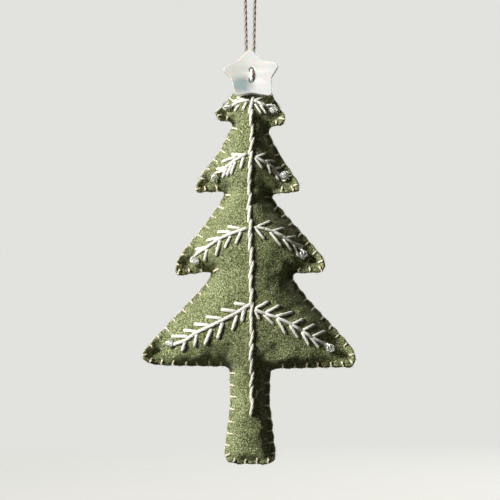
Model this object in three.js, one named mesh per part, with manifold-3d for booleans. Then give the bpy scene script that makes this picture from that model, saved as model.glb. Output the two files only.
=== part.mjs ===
// A stuffed felt tree to hang up: two felt panels joined by a blanket stitch around their edge,
// an embroidered front with glass beads, a shell star button, and a thread loop.
// Millimetres, +Z up, the front faces -Y. The origin is where a hook bears inside the loop.
import * as THREE from "three";
import { mergeVertices } from "three/addons/utils/BufferGeometryUtils.js";
import Module from "manifold-3d";

const wasm = await Module();
wasm.setup();

// Felt outline: half its width at the lowest tips, and its height before the top is rounded
const HALF_WIDTH = 26.4;
const APEX_HEIGHT = 98.4;
const APEX_ROUND = 2;
const TRUNK_NECK = 4.8;
const TRUNK_WAIST_HEIGHT = 15.5;
const TRUNK_FOOT = 6.5;
const TRUNK_BASE = 0.4;
const TRUNK_ROUND = 1.8;
const WAIST_ROUND = 10;
const TIP_ROUND = 1.3;
const LOW_TIP_ROUND = 2.3;
const HIP_ROUND = 3;
const SLOPE_ROUND = 9;
const NECK_ROUND = 0.9;
// Corners down each side: shares of the half width and of the height, then the rounding
const LEFT_EDGE = [
  [-0.33, 0.858, TIP_ROUND],
  [-0.165, 0.837, NECK_ROUND],
  [-0.273, 0.771, SLOPE_ROUND],
  [-0.538, 0.666, TIP_ROUND],
  [-0.235, 0.669, NECK_ROUND],
  [-0.379, 0.603, SLOPE_ROUND],
  [-0.633, 0.526, HIP_ROUND],
  [-0.716, 0.458, LOW_TIP_ROUND],
  [-0.352, 0.474, NECK_ROUND],
  [-0.424, 0.439, SLOPE_ROUND],
  [-0.913, 0.308, HIP_ROUND],
  [-1.045, 0.245, LOW_TIP_ROUND],
  [-0.189, 0.241, NECK_ROUND],
];
const RIGHT_EDGE = [
  [0.345, 0.843, TIP_ROUND],
  [0.174, 0.826, NECK_ROUND],
  [0.273, 0.761, SLOPE_ROUND],
  [0.511, 0.666, TIP_ROUND],
  [0.205, 0.664, NECK_ROUND],
  [0.318, 0.621, SLOPE_ROUND],
  [0.64, 0.523, HIP_ROUND],
  [0.716, 0.47, LOW_TIP_ROUND],
  [0.394, 0.47, NECK_ROUND],
  [0.451, 0.433, SLOPE_ROUND],
  [0.924, 0.296, HIP_ROUND],
  [1.004, 0.239, LOW_TIP_ROUND],
  [0.189, 0.238, NECK_ROUND],
];

// Felt panels and their filling
const FELT = 1.2;
const SEAM_GAP = 0.3;
const SEAM_ALLOWANCE = 1.8;
const FULLNESS = 0.98;
const FULLEST = 7.4;
const EDGE_SOFTNESS = 0.5;
const CLEARANCE = 0.3;
const SEAM_LAP = 0.2;
const FILLING_EDGE = 0.1;

// Sewing threads
const EDGE_THREAD = 0.55;
const EDGE_RUN_INSET = 0.1;
const EDGE_STITCH_PITCH = 2.95;
const EDGE_OPENING = 3.4;
const STEM_THREAD = 0.9;
const STEM_FOOT = 12.8;
const STEM_STITCH = 4.4;
const STEM_BELOW_STAR = 5.9;
const STEM_ADVANCE_SHARE = 0.72;
const STEM_SLANT = 0.28;
const SPRIG_THREAD = 0.72;
const SPRIG_FIRST_SHARE = 0.2;
const SPRIG_STAGGER_SHARE = 0.13;
const SPRIG_ARCH = 0.2;
const TIE_THREAD = 0.5;
const TIE_STEPS = 5;

// Glass beads
const BEAD_DIAMETER = 2.2;
const BEAD_HOLE = 0.95;
const BEAD_SIDES = 10;
const BEAD_FACETS = 6;

// Shell star button
const STAR_POINTS = 5;
const STAR_DROP = 4.3;
const STAR_TIP_RADIUS = 7.2;
const STAR_NOTCH_RADIUS = 4.5;
const STAR_SQUAT = 0.92;
const STAR_TURN = 5.5;
const STAR_TILT = 14;
const STAR_THICKNESS = 1.5;
const STAR_TIP_ROUND = 0.9;
const STAR_NOTCH_ROUND = 0.8;
const STAR_EDGE = 0.25;
const STAR_HOLE = 1.55;
const STAR_HOLE_SPACING = 3.0;
const STAR_THREAD = 0.6;
const STAR_THREAD_SIDES = 6;
const STAR_THREAD_STEPS = 16;
const STAR_THREAD_BEND = 0.65;
const STAR_SEAT_STEPS = 14;

// Hanging thread: route of the right-hand strand as [x, height above the felt], repeated on the left
const LOOP_THREAD = 0.8;
const STRAND_ROUTE = [
  [0.9, 1.25],
  [0.95, 5.05],
  [1.02, 9.05],
  [1.1, 13.05],
];
const BIGHT_ROUTE = [
  [1.1, 13.05],
  [1.22, 16.05],
  [1.55, 19.05],
  [1.75, 21.05],
  [1.24, 22.29],
  [0, 22.8],
];
const KNOT_DROP = 8.6;
const KNOT_RADIUS = 0.7;
const KNOT_SPREAD_RATIO = 1.5;
const KNOT_STEPS = 20;
const KNOT_SIDES = 5;
const BIGHT_STEPS = 24;
const STRAND_STEPS = 4;
const TAIL_STEPS = 3;

const STAR_HEIGHT = APEX_HEIGHT - STAR_DROP;
const STEM_TOP = STAR_HEIGHT - STEM_BELOW_STAR;
const RIM = SEAM_GAP / 2 + FELT;
const SAME_POINT = 1e-4;
const CURVE_STEPS = 3;
const CORNER_SHARE = 0.48;
const STITCH_SIDES = 4;
const CORD_SIDES = 8;
const MEMBRANE_PITCH = 0.8;
const MEMBRANE_SWEEPS = 260;
const RELAXATION_FACTOR = 1.9;
const PANEL_ROW = 3.9;
const PANEL_COLUMN = 2.1;
const PANEL_WIDENING = 0.38;
const STEEPEST = 1.8;

const COLOURS = {
  felt: 0x727d45,
  filling: 0xe9e6dc,
  edge: 0xb59a58,
  floss: 0xdcd5bd,
  bead: 0xe6ecea,
  shell: 0xe9e7e1,
  twine: 0x8f857b,
};

const part = new THREE.Group();

function addMesh(name, geometry, color, roughness = 0.9, metalness = 0) {
  const mesh = new THREE.Mesh(geometry, new THREE.MeshStandardMaterial({ color, roughness, metalness }));
  mesh.name = name;
  part.add(mesh);
  return mesh;
}

// Joining and cutting
function solid(geometry) {
  const bare = new THREE.BufferGeometry();
  bare.setAttribute("position", geometry.getAttribute("position"));
  bare.setIndex(geometry.index);
  const merged = mergeVertices(bare, SAME_POINT);
  return new wasm.Manifold(
    new wasm.Mesh({
      numProp: 3,
      vertProperties: new Float32Array(merged.attributes.position.array),
      triVerts: new Uint32Array(merged.index.array),
    }),
  );
}

function geometryOf(manifold) {
  const mesh = manifold.getMesh();
  const geometry = new THREE.BufferGeometry();
  geometry.setAttribute("position", new THREE.BufferAttribute(mesh.vertProperties, 3));
  geometry.setIndex(new THREE.BufferAttribute(mesh.triVerts, 1));
  geometry.computeVertexNormals();
  return geometry;
}

function joined(geometries) {
  return geometries.map(solid).reduce((whole, piece) => whole.add(piece));
}

// Outline: straight cuts between rounded corners, each corner [x, height, rounding]
function treeCorners() {
  const cut = ([across, up, round]) => [across * HALF_WIDTH, up * APEX_HEIGHT, round];
  return [
    [0, APEX_HEIGHT, APEX_ROUND],
    ...RIGHT_EDGE.map(cut),
    [TRUNK_NECK, TRUNK_WAIST_HEIGHT, WAIST_ROUND],
    [TRUNK_FOOT, TRUNK_BASE, TRUNK_ROUND],
    [-TRUNK_FOOT, TRUNK_BASE, TRUNK_ROUND],
    [-TRUNK_NECK, TRUNK_WAIST_HEIGHT, WAIST_ROUND],
    ...LEFT_EDGE.map(cut).reverse(),
  ];
}

// Moves every edge inwards by the distance (outwards if it is negative) and meets them again at the corners
function insetCorners(corners, distance) {
  const count = corners.length;
  return corners.map(([x, z, round], i) => {
    const [px, pz] = corners[(i + count - 1) % count];
    const [nx, nz] = corners[(i + 1) % count];
    const before = new THREE.Vector2(x - px, z - pz).normalize();
    const after = new THREE.Vector2(nx - x, nz - z).normalize();
    const turn = before.cross(after);
    const shift = distance / (1 + before.dot(after));
    const inward = new THREE.Vector2(before.y + after.y, -before.x - after.x);
    const opened = turn < 0 ? round - distance : round + distance;
    return [x + inward.x * shift, z + inward.y * shift, Math.max(opened, SEAM_LAP)];
  });
}

function roundedShape(corners) {
  const shape = new THREE.Shape();
  const points = corners.map(([x, z]) => new THREE.Vector2(x, z));
  points.forEach((corner, i) => {
    const before = points.at(i - 1).clone().sub(corner);
    const after = points[(i + 1) % points.length].clone().sub(corner);
    const half = Math.abs(before.angleTo(after)) / 2;
    const longest = CORNER_SHARE * Math.min(before.length(), after.length());
    const reach = Math.min(corners[i][2] / Math.tan(half), longest);
    const start = before.setLength(reach).add(corner);
    const end = after.setLength(reach).add(corner);
    if (i === 0) shape.moveTo(start.x, start.y);
    else shape.lineTo(start.x, start.y);
    shape.quadraticCurveTo(corner.x, corner.y, end.x, end.y);
  });
  shape.closePath();
  return shape;
}

const CORNERS = treeCorners();
const insetShape = (distance) => roundedShape(insetCorners(CORNERS, distance));

// A flat plate of the shape between two depths behind the XZ plane
function plate(shape, front, back) {
  const geometry = new THREE.ExtrudeGeometry(shape, {
    depth: back - front,
    bevelEnabled: false,
    curveSegments: CURVE_STEPS,
  });
  return geometry.rotateX(Math.PI / 2).translate(0, back, 0);
}

// A flat band between two insets of the outline
function band(outside, inside, front, back) {
  const hole = plate(insetShape(inside), front - FELT, back + FELT);
  return solid(plate(insetShape(outside), front, back)).subtract(solid(hole));
}

// The filling presses the felt out like a membrane fixed along the seam. Its height follows from
// the pressure equation inside the outline, is round across each tier, and levels off near its fullest.
function crownInside(inset) {
  const rim = insetShape(inset).getPoints(CURVE_STEPS);
  const box = new THREE.Box2().setFromPoints(rim).expandByScalar(2 * MEMBRANE_PITCH);
  const columns = Math.ceil((box.max.x - box.min.x) / MEMBRANE_PITCH) + 1;
  const rows = Math.ceil((box.max.y - box.min.y) / MEMBRANE_PITCH) + 1;
  const press = new Float64Array(columns * rows);
  const free = [];
  for (let j = 1; j < rows - 1; j += 1) {
    for (let i = 1; i < columns - 1; i += 1) {
      const x = box.min.x + i * MEMBRANE_PITCH;
      const z = box.min.y + j * MEMBRANE_PITCH;
      if (isInside(rim, x, z)) free.push(j * columns + i);
    }
  }
  const load = MEMBRANE_PITCH ** 2;
  for (let sweep = 0; sweep < MEMBRANE_SWEEPS; sweep += 1) {
    for (const k of free) {
      const around = press[k - 1] + press[k + 1] + press[k - columns] + press[k + columns];
      press[k] += RELAXATION_FACTOR * ((around + load) / 4 - press[k]);
    }
  }
  return (x, z) => {
    const u = THREE.MathUtils.clamp((x - box.min.x) / MEMBRANE_PITCH, 0, columns - 1.001);
    const v = THREE.MathUtils.clamp((z - box.min.y) / MEMBRANE_PITCH, 0, rows - 1.001);
    const k = Math.floor(v) * columns + Math.floor(u);
    const s = u - Math.floor(u);
    const low = THREE.MathUtils.lerp(press[k], press[k + 1], s);
    const high = THREE.MathUtils.lerp(press[k + columns], press[k + columns + 1], s);
    const pressure = 2 * THREE.MathUtils.lerp(low, high, v - Math.floor(v));
    const swell = Math.sqrt(pressure + EDGE_SOFTNESS ** 2) - EDGE_SOFTNESS;
    return (FULLNESS * swell) / (1 + (swell / FULLEST) ** 4) ** (1 / 4);
  };
}

function isInside(points, x, z) {
  let inside = false;
  points.forEach((a, i) => {
    const b = points.at(i - 1);
    if (a.y > z !== b.y > z && x < ((b.x - a.x) * (z - a.y)) / (b.y - a.y) + a.x) inside = !inside;
  });
  return inside;
}

// Cells over the whole outline, each of two flat facets, that carry a height at every corner.
// Their columns stand closest over the narrow middle of the tree.
const OUTLINE = insetShape(0).getPoints(CURVE_STEPS);
const AREA = new THREE.Box2().setFromPoints(OUTLINE);
const HALF_COLUMNS = Math.ceil(columnAt(Math.max(AREA.max.x, -AREA.min.x))) + 1;
const COLUMNS = 2 * HALF_COLUMNS + 1;
const ROWS = Math.ceil((AREA.max.y - AREA.min.y) / PANEL_ROW) + 3;
const cellZ = (j) => AREA.min.y + (j - 1) * PANEL_ROW;

function cellX(i) {
  const n = i - HALF_COLUMNS;
  return n * (PANEL_COLUMN + PANEL_WIDENING * Math.abs(n));
}

// The column number, counted from the middle, whose x is the distance given
function columnAt(distance) {
  const root = Math.sqrt(PANEL_COLUMN ** 2 + 4 * PANEL_WIDENING * distance);
  return (root - PANEL_COLUMN) / (2 * PANEL_WIDENING);
}

function facets(height) {
  const heights = [];
  for (let j = 0; j < ROWS; j += 1) {
    for (let i = 0; i < COLUMNS; i += 1) heights.push(height(cellX(i), cellZ(j)));
  }
  return heights;
}

// Height of the facet over a point, or of the nearest one where the point is past the last cell
function facetHeight(heights, x, z) {
  const column = Math.floor(Math.sign(x) * columnAt(Math.abs(x)) + HALF_COLUMNS);
  const i = THREE.MathUtils.clamp(column, 0, COLUMNS - 2);
  const v = (z - AREA.min.y) / PANEL_ROW + 1;
  const j = THREE.MathUtils.clamp(Math.floor(v), 0, ROWS - 2);
  const s = THREE.MathUtils.clamp((x - cellX(i)) / (cellX(i + 1) - cellX(i)), 0, 1);
  const t = THREE.MathUtils.clamp(v - j, 0, 1);
  const k = j * COLUMNS + i;
  const [a, b, c, d] = [heights[k], heights[k + 1], heights[k + COLUMNS], heights[k + COLUMNS + 1]];
  return s > t ? a + s * (b - a) + t * (d - b) : a + t * (c - a) + s * (d - c);
}

// A closed slab between two sets of heights, counted towards the front
function slab(front, back) {
  const positions = [];
  const index = [];
  const layer = ROWS * COLUMNS;
  for (const heights of [front, back]) {
    heights.forEach((h, k) => positions.push(cellX(k % COLUMNS), -h, cellZ(Math.floor(k / COLUMNS))));
  }
  const quad = (a, b, c, d) => index.push(a, b, d, a, d, c);
  for (let j = 0; j < ROWS - 1; j += 1) {
    for (let i = 0; i < COLUMNS - 1; i += 1) {
      const k = j * COLUMNS + i;
      quad(k, k + 1, k + COLUMNS, k + COLUMNS + 1);
      index.push(layer + k, layer + k + COLUMNS + 1, layer + k + 1);
      index.push(layer + k, layer + k + COLUMNS, layer + k + COLUMNS + 1);
    }
  }
  const top = (ROWS - 1) * COLUMNS;
  for (let i = 0; i < COLUMNS - 1; i += 1) {
    quad(layer + i, layer + i + 1, i, i + 1);
    quad(top + i, top + i + 1, layer + top + i, layer + top + i + 1);
  }
  for (let j = 0; j < ROWS - 1; j += 1) {
    const left = j * COLUMNS;
    const right = left + COLUMNS - 1;
    quad(layer + left, left, layer + left + COLUMNS, left + COLUMNS);
    quad(right, layer + right, right + COLUMNS, layer + right + COLUMNS);
  }
  const geometry = new THREE.BufferGeometry();
  geometry.setAttribute("position", new THREE.Float32BufferAttribute(positions, 3));
  geometry.setIndex(index);
  return geometry;
}

const crownOutside = crownInside(SEAM_ALLOWANCE);
const crownUnder = crownInside(SEAM_ALLOWANCE + FELT);
const OUTER = facets((x, z) => RIM + crownOutside(x, z));
const INNER = facets((x, z) => SEAM_GAP / 2 + Math.min(crownUnder(x, z), crownOutside(x, z)));
const FILL = facets((x, z) => Math.max(SEAM_GAP / 2 + crownUnder(x, z) - CLEARANCE, FILLING_EDGE));

// A point in front of the felt, its distance counted square to the slope
function onFelt(x, z, lift) {
  const slopeX = (facetHeight(OUTER, x + FELT, z) - facetHeight(OUTER, x - FELT, z)) / (2 * FELT);
  const slopeZ = (facetHeight(OUTER, x, z + FELT) - facetHeight(OUTER, x, z - FELT)) / (2 * FELT);
  const steepness = Math.min(Math.hypot(1, slopeX, slopeZ), STEEPEST);
  return new THREE.Vector3(x, -facetHeight(OUTER, x, z) - lift * steepness, z);
}

// A thread of round section along a run of points
function thread(points, diameter, sides, steps) {
  const ring = new THREE.Shape();
  for (let i = 0; i < sides; i += 1) {
    const angle = (2 * Math.PI * i) / sides;
    const x = (diameter / 2) * Math.cos(angle);
    const y = (diameter / 2) * Math.sin(angle);
    if (i === 0) ring.moveTo(x, y);
    else ring.lineTo(x, y);
  }
  ring.closePath();
  const extrudePath = new THREE.CatmullRomCurve3(points);
  return new THREE.ExtrudeGeometry(ring, { extrudePath, steps, bevelEnabled: false });
}

// Hanging thread: two strands leave the top of the seam, and their ends are tied inside the tree
const CREST = AREA.max.y;
const PIVOT_HEIGHT = CREST + STRAND_ROUTE[0][1];
const HOOK_HEIGHT = CREST + BIGHT_ROUTE.at(-1)[1] - LOOP_THREAD / 2;
const routePoint = ([x, rise]) => new THREE.Vector3(x, 0, CREST + rise);
const across = ([x, rise]) => [-x, rise];

function strandPoints(side) {
  const route = side < 0 ? STRAND_ROUTE.map(across) : STRAND_ROUTE;
  const points = route.map(routePoint);
  points.at(-1).z -= CLEARANCE;
  return points;
}

function bightPoints() {
  const left = BIGHT_ROUTE.map(across);
  const right = BIGHT_ROUTE.slice(0, -1).reverse();
  return [...left, ...right].map(routePoint);
}

function tailPoints(side) {
  const [x] = STRAND_ROUTE[0];
  const top = PIVOT_HEIGHT - LOOP_THREAD / 2 - CLEARANCE;
  const knot = CREST - KNOT_DROP;
  return [
    new THREE.Vector3(side * KNOT_RADIUS, 0, knot),
    new THREE.Vector3(side * x, 0, THREE.MathUtils.lerp(knot, top, 0.5)),
    new THREE.Vector3(side * x, 0, top),
  ];
}

function tiedKnot() {
  const knot = new THREE.TorusKnotGeometry(KNOT_RADIUS, LOOP_THREAD / 2, KNOT_STEPS, KNOT_SIDES, 2, 3);
  return knot.rotateX(Math.PI / 2).translate(0, 0, CREST - KNOT_DROP);
}

function tailChannel(side) {
  const points = tailPoints(side);
  points.push(points.at(-1).clone().setZ(CREST + FELT));
  return solid(thread(points, LOOP_THREAD + 2 * CLEARANCE, CORD_SIDES, 2 * TAIL_STEPS));
}

function knotRoom() {
  const radius = KNOT_SPREAD_RATIO * KNOT_RADIUS + LOOP_THREAD / 2 + CLEARANCE;
  return solid(new THREE.SphereGeometry(radius, 10, 8).translate(0, 0, CREST - KNOT_DROP));
}

const CHANNELS = tailChannel(-1).add(tailChannel(1));
const KNOT_ROOM = knotRoom();

// Felt panels: a flat seam allowance around a crowned middle
function feltPanel() {
  const rim = band(0, SEAM_ALLOWANCE, -RIM, -SEAM_GAP / 2);
  const die = solid(plate(insetShape(SEAM_ALLOWANCE - SEAM_LAP), -AREA.max.y, AREA.max.y));
  const crown = solid(slab(OUTER, INNER)).intersect(die);
  return geometryOf(rim.add(crown).subtract(CHANNELS).subtract(KNOT_ROOM));
}

// The filling stops below the knot
function filling() {
  const die = solid(plate(insetShape(SEAM_ALLOWANCE + CLEARANCE), -AREA.max.y, AREA.max.y));
  const lump = solid(slab(FILL, FILL.map((h) => -h))).intersect(die);
  const size = 2 * AREA.max.x;
  const above = CREST - KNOT_DROP - KNOT_RADIUS - LOOP_THREAD;
  const room = new THREE.BoxGeometry(size, size, size).translate(0, 0, above + size / 2);
  return geometryOf(lump.subtract(solid(room)));
}

// Blanket stitch: one staple of thread round the edge at each stitch, linked by the run along the edge
function edgeStaple() {
  const deep = RIM + CLEARANCE;
  const leg = SEAM_ALLOWANCE - 2 * CLEARANCE;
  const out = -CLEARANCE - EDGE_THREAD;
  const staple = new THREE.Shape();
  staple.moveTo(leg, deep);
  staple.lineTo(leg, deep + EDGE_THREAD);
  staple.lineTo(out, deep + EDGE_THREAD);
  staple.lineTo(out, -deep - EDGE_THREAD);
  staple.lineTo(leg, -deep - EDGE_THREAD);
  staple.lineTo(leg, -deep);
  staple.lineTo(-CLEARANCE, -deep);
  staple.lineTo(-CLEARANCE, deep);
  staple.closePath();
  const geometry = new THREE.ExtrudeGeometry(staple, { depth: EDGE_THREAD, bevelEnabled: false });
  return geometry.translate(0, 0, -EDGE_THREAD / 2);
}

function blanketStitch() {
  const outline = insetShape(0);
  const count = Math.round(outline.getLength() / EDGE_STITCH_PITCH);
  const inside = CLEARANCE + EDGE_RUN_INSET;
  const outside = CLEARANCE + EDGE_THREAD - EDGE_RUN_INSET;
  const run = band(-outside, -inside, -EDGE_THREAD / 2, EDGE_THREAD / 2);
  const opening = new THREE.BoxGeometry(EDGE_OPENING, 4 * RIM, 4 * RIM).translate(0, 0, CREST);
  let stitches = run.subtract(solid(opening));
  for (let i = 0; i < count; i += 1) {
    const t = (i + 0.5) / count;
    const place = outline.getPointAt(t);
    const along = outline.getTangentAt(t);
    const atOpening = Math.abs(place.x) < (EDGE_OPENING + EDGE_THREAD) / 2 && place.y > CREST - RIM;
    if (atOpening) continue;
    const inward = new THREE.Vector3(along.y, 0, -along.x);
    const towardsFront = new THREE.Vector3(0, -1, 0);
    const frame = new THREE.Matrix4().makeBasis(inward, towardsFront, inward.clone().cross(towardsFront));
    frame.setPosition(place.x, 0, place.y);
    stitches = stitches.add(solid(edgeStaple().applyMatrix4(frame)));
  }
  return geometryOf(stitches);
}

// Stem stitch: short slanting stitches that overlap down the middle of the front
function stemStitch() {
  const lift = CLEARANCE + STEM_THREAD / 2;
  const drop = STEM_TOP - STEM_FOOT - STEM_STITCH;
  const count = Math.round(drop / (STEM_ADVANCE_SHARE * STEM_STITCH));
  const stitches = [];
  for (let i = 0; i <= count; i += 1) {
    const top = STEM_TOP - (i * drop) / count;
    const points = [
      onFelt(-STEM_SLANT, top, lift),
      onFelt(0, top - STEM_STITCH / 2, lift),
      onFelt(STEM_SLANT, top - STEM_STITCH, lift),
    ];
    stitches.push(thread(points, STEM_THREAD, STITCH_SIDES, 2));
  }
  return geometryOf(joined(stitches));
}

// Sprigs: a curved stem with pairs of straight stitches, a bead at the tip tied on by the same thread.
// Places are shares of the half width and the height; side stitches are [length, degrees from the stem].
const SPRIGS = {
  left_1: {
    start: [-0.045, 0.889],
    bend: [-0.098, 0.887],
    tip: [-0.159, 0.877],
    bead: [-0.216, 0.874],
    pairs: 2,
    upper: [1.6, 30],
    lower: [1.5, 45],
  },
  right_1: {
    start: [0.045, 0.888],
    bend: [0.098, 0.886],
    tip: [0.155, 0.876],
    bead: [0.212, 0.87],
    pairs: 2,
    upper: [1.7, 40],
    lower: [1.7, 42],
  },
  left_2: {
    start: [-0.045, 0.759],
    bend: [-0.159, 0.743],
    tip: [-0.269, 0.72],
    bead: [-0.318, 0.706],
    pairs: 3,
    upper: [2.6, 30],
    lower: [2.5, 42],
  },
  right_2: {
    start: [0.049, 0.754],
    bend: [0.17, 0.74],
    tip: [0.269, 0.715],
    bead: [0.314, 0.705],
    pairs: 3,
    upper: [1.9, 38],
    lower: [2.4, 32],
  },
  left_3: {
    start: [-0.045, 0.578],
    bend: [-0.288, 0.557],
    tip: [-0.477, 0.519],
    bead: [-0.515, 0.504],
    pairs: 4,
    upper: [2.8, 27],
    lower: [2.9, 43],
  },
  right_3: {
    start: [0.045, 0.582],
    bend: [0.288, 0.565],
    tip: [0.443, 0.535],
    bead: [0.492, 0.521],
    pairs: 4,
    upper: [2.6, 36],
    lower: [3.0, 30],
  },
  left_4: {
    start: [-0.049, 0.388],
    bend: [-0.367, 0.341],
    tip: [-0.689, 0.297],
    bead: [-0.758, 0.293],
    pairs: 6,
    upper: [3.2, 33],
    lower: [3.2, 47],
  },
  right_4: {
    start: [0.049, 0.382],
    bend: [0.375, 0.348],
    tip: [0.678, 0.297],
    bead: [0.735, 0.288],
    pairs: 6,
    upper: [3.4, 50],
    lower: [3.1, 31],
  },
};
const onTree = ([across, up]) => new THREE.Vector2(across * HALF_WIDTH, up * APEX_HEIGHT);

// A straight stitch beside the stem, from a place along it, turned one way or the other
function sideStitch(curve, t, way, [length, angle], lift) {
  const turn = way * THREE.MathUtils.degToRad(angle);
  const along = curve.getTangentAt(t);
  const beside = new THREE.Vector2(-along.y, along.x).multiplyScalar((way * SPRIG_THREAD) / 4);
  const base = curve.getPointAt(t).add(beside);
  const end = along.rotateAround(new THREE.Vector2(), turn).multiplyScalar(length).add(base);
  const points = [base, end].map((p) => onFelt(p.x, p.y, lift));
  return thread(points, SPRIG_THREAD, STITCH_SIDES, 1);
}

const BEAD_TUBE = (BEAD_DIAMETER - BEAD_HOLE) / 4;
const BEAD_RING = (BEAD_DIAMETER + BEAD_HOLE) / 4;

// How far a bead's middle lies in front of the seam: it rests on the highest felt under its ring
function beadDepth({ x, y: z }) {
  const radius = BEAD_DIAMETER / 2;
  const heights = [facetHeight(OUTER, x, z)];
  for (let i = 0; i < BEAD_SIDES; i += 1) {
    const angle = (2 * Math.PI * i) / BEAD_SIDES;
    heights.push(facetHeight(OUTER, x + radius * Math.cos(angle), z + radius * Math.sin(angle)));
  }
  return Math.max(...heights) + CLEARANCE + BEAD_TUBE;
}

function beadTie(tip, bead, lift) {
  const depth = beadDepth(bead);
  const over = depth + BEAD_TUBE + CLEARANCE + TIE_THREAD / 2;
  const away = tip.clone().sub(bead).setLength(BEAD_RING);
  return thread(
    [
      onFelt(tip.x, tip.y, lift),
      new THREE.Vector3(bead.x + away.x, -over, bead.y + away.y),
      new THREE.Vector3(bead.x, -over + TIE_THREAD / 4, bead.y),
      new THREE.Vector3(bead.x, -depth, bead.y),
    ],
    TIE_THREAD,
    STITCH_SIDES,
    TIE_STEPS,
  );
}

function sprig({ start, bend, tip, bead, pairs, upper, lower }) {
  const lift = CLEARANCE + SPRIG_THREAD / 2 + SPRIG_ARCH;
  const side = Math.sign(tip[0]);
  const curve = new THREE.QuadraticBezierCurve(onTree(start), onTree(bend), onTree(tip));
  const stem = curve.getSpacedPoints(2 * pairs).map((p) => onFelt(p.x, p.y, lift));
  const stitches = [thread(stem, SPRIG_THREAD, STITCH_SIDES, 2 * pairs)];
  for (let i = 0; i < pairs; i += 1) {
    const above = (i + SPRIG_FIRST_SHARE) / pairs;
    const below = above + SPRIG_STAGGER_SHARE / pairs;
    stitches.push(sideStitch(curve, above, side, upper, lift));
    stitches.push(sideStitch(curve, below, -side, lower, lift));
  }
  stitches.push(beadTie(curve.getPointAt(1), onTree(bead), lift));
  return geometryOf(joined(stitches));
}

function beadRing(place) {
  const ring = [];
  for (let i = 0; i <= BEAD_FACETS; i += 1) {
    const angle = (-2 * Math.PI * i) / BEAD_FACETS;
    ring.push(new THREE.Vector2(BEAD_RING + BEAD_TUBE * Math.cos(angle), BEAD_TUBE * Math.sin(angle)));
  }
  return new THREE.LatheGeometry(ring.reverse(), BEAD_SIDES).translate(place.x, -beadDepth(place), place.y);
}

// Star button, leaning back on the slope of the felt, and the thread through its two holes
function starShape() {
  const corners = [];
  for (let i = 0; i < 2 * STAR_POINTS; i += 1) {
    const angle = THREE.MathUtils.degToRad(90 + STAR_TURN - (180 / STAR_POINTS) * i);
    const radius = i % 2 ? STAR_NOTCH_RADIUS : STAR_TIP_RADIUS;
    const round = i % 2 ? STAR_NOTCH_ROUND : STAR_TIP_ROUND;
    corners.push([radius * Math.cos(angle), STAR_SQUAT * radius * Math.sin(angle), round]);
  }
  const shape = roundedShape(insetCorners(corners, STAR_EDGE));
  for (const z of [STAR_HOLE_SPACING / 2, -STAR_HOLE_SPACING / 2]) {
    shape.holes.push(new THREE.Path().absarc(0, z, STAR_HOLE / 2 + STAR_EDGE, 0, 2 * Math.PI));
  }
  return shape;
}

const LEAN = THREE.MathUtils.degToRad(STAR_TILT);

// The star lies just clear of the felt and its edge stitches: depth of its back in front of the seam
function starSeat() {
  const reach = STAR_TIP_RADIUS;
  const step = reach / STAR_SEAT_STEPS;
  let depth = 0;
  for (let x = -reach; x <= reach; x += step) {
    for (let v = -reach; v <= reach; v += step) {
      const z = STAR_HEIGHT + v * Math.cos(LEAN);
      if (Math.hypot(x, v) > reach || !isInside(OUTLINE, x, z)) continue;
      const under = Math.max(facetHeight(OUTER, x, z), RIM + CLEARANCE + EDGE_THREAD);
      depth = Math.max(depth, under + v * Math.sin(LEAN));
    }
  }
  return depth + CLEARANCE;
}

const STAR_DEPTH = starSeat();

// A place on the star's upright middle line: up its face and out from its back
function starPoint(up, out) {
  const place = new THREE.Vector3(0, -out, up).applyAxisAngle(new THREE.Vector3(1, 0, 0), -LEAN);
  return place.add(new THREE.Vector3(0, -STAR_DEPTH, STAR_HEIGHT));
}

function starButton() {
  const geometry = new THREE.ExtrudeGeometry(starShape(), {
    depth: STAR_THICKNESS - 2 * STAR_EDGE,
    bevelThickness: STAR_EDGE,
    bevelSize: STAR_EDGE,
    bevelSegments: 2,
    curveSegments: 2,
  });
  return geometry.rotateX(Math.PI / 2).translate(0, -STAR_EDGE, 0);
}

function buttonThread() {
  const half = STAR_HOLE_SPACING / 2;
  const front = STAR_THICKNESS + CLEARANCE + STAR_THREAD / 2;
  const leg = (up) => {
    const hole = starPoint(up, 0);
    return new THREE.Vector3(0, -facetHeight(OUTER, 0, hole.z) - CLEARANCE, hole.z);
  };
  return thread(
    [
      leg(half),
      starPoint(half, STAR_THICKNESS / 2),
      starPoint(half, STAR_THICKNESS),
      starPoint(STAR_THREAD_BEND * half, front),
      starPoint(-STAR_THREAD_BEND * half, front),
      starPoint(-half, STAR_THICKNESS),
      starPoint(-half, STAR_THICKNESS / 2),
      leg(-half),
    ],
    STAR_THREAD,
    STAR_THREAD_SIDES,
    STAR_THREAD_STEPS,
  );
}

addMesh("front_felt", feltPanel(), COLOURS.felt);
addMesh("back_felt", feltPanel(), COLOURS.felt).scale.y = -1;
addMesh("stuffing", filling(), COLOURS.filling);
addMesh("blanket_stitch", blanketStitch(), COLOURS.edge, 0.7);
addMesh("stem_stitch", stemStitch(), COLOURS.floss, 0.7);
for (const [name, layout] of Object.entries(SPRIGS)) {
  addMesh(`sprig_${name}`, sprig(layout), COLOURS.floss, 0.7);
  addMesh(`bead_${name}`, beadRing(onTree(layout.bead)), COLOURS.bead, 0.1);
}
const star = addMesh("star_button", starButton(), COLOURS.shell, 0.25);
star.position.set(0, -STAR_DEPTH, STAR_HEIGHT);
star.rotation.x = -LEAN;
addMesh("button_thread", buttonThread(), COLOURS.floss, 0.7);
addMesh("hanging_loop", thread(bightPoints(), LOOP_THREAD, CORD_SIDES, BIGHT_STEPS), COLOURS.twine, 0.8);
addMesh("strand_left", thread(strandPoints(-1), LOOP_THREAD, CORD_SIDES, STRAND_STEPS), COLOURS.twine, 0.8);
addMesh("strand_right", thread(strandPoints(1), LOOP_THREAD, CORD_SIDES, STRAND_STEPS), COLOURS.twine, 0.8);
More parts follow.
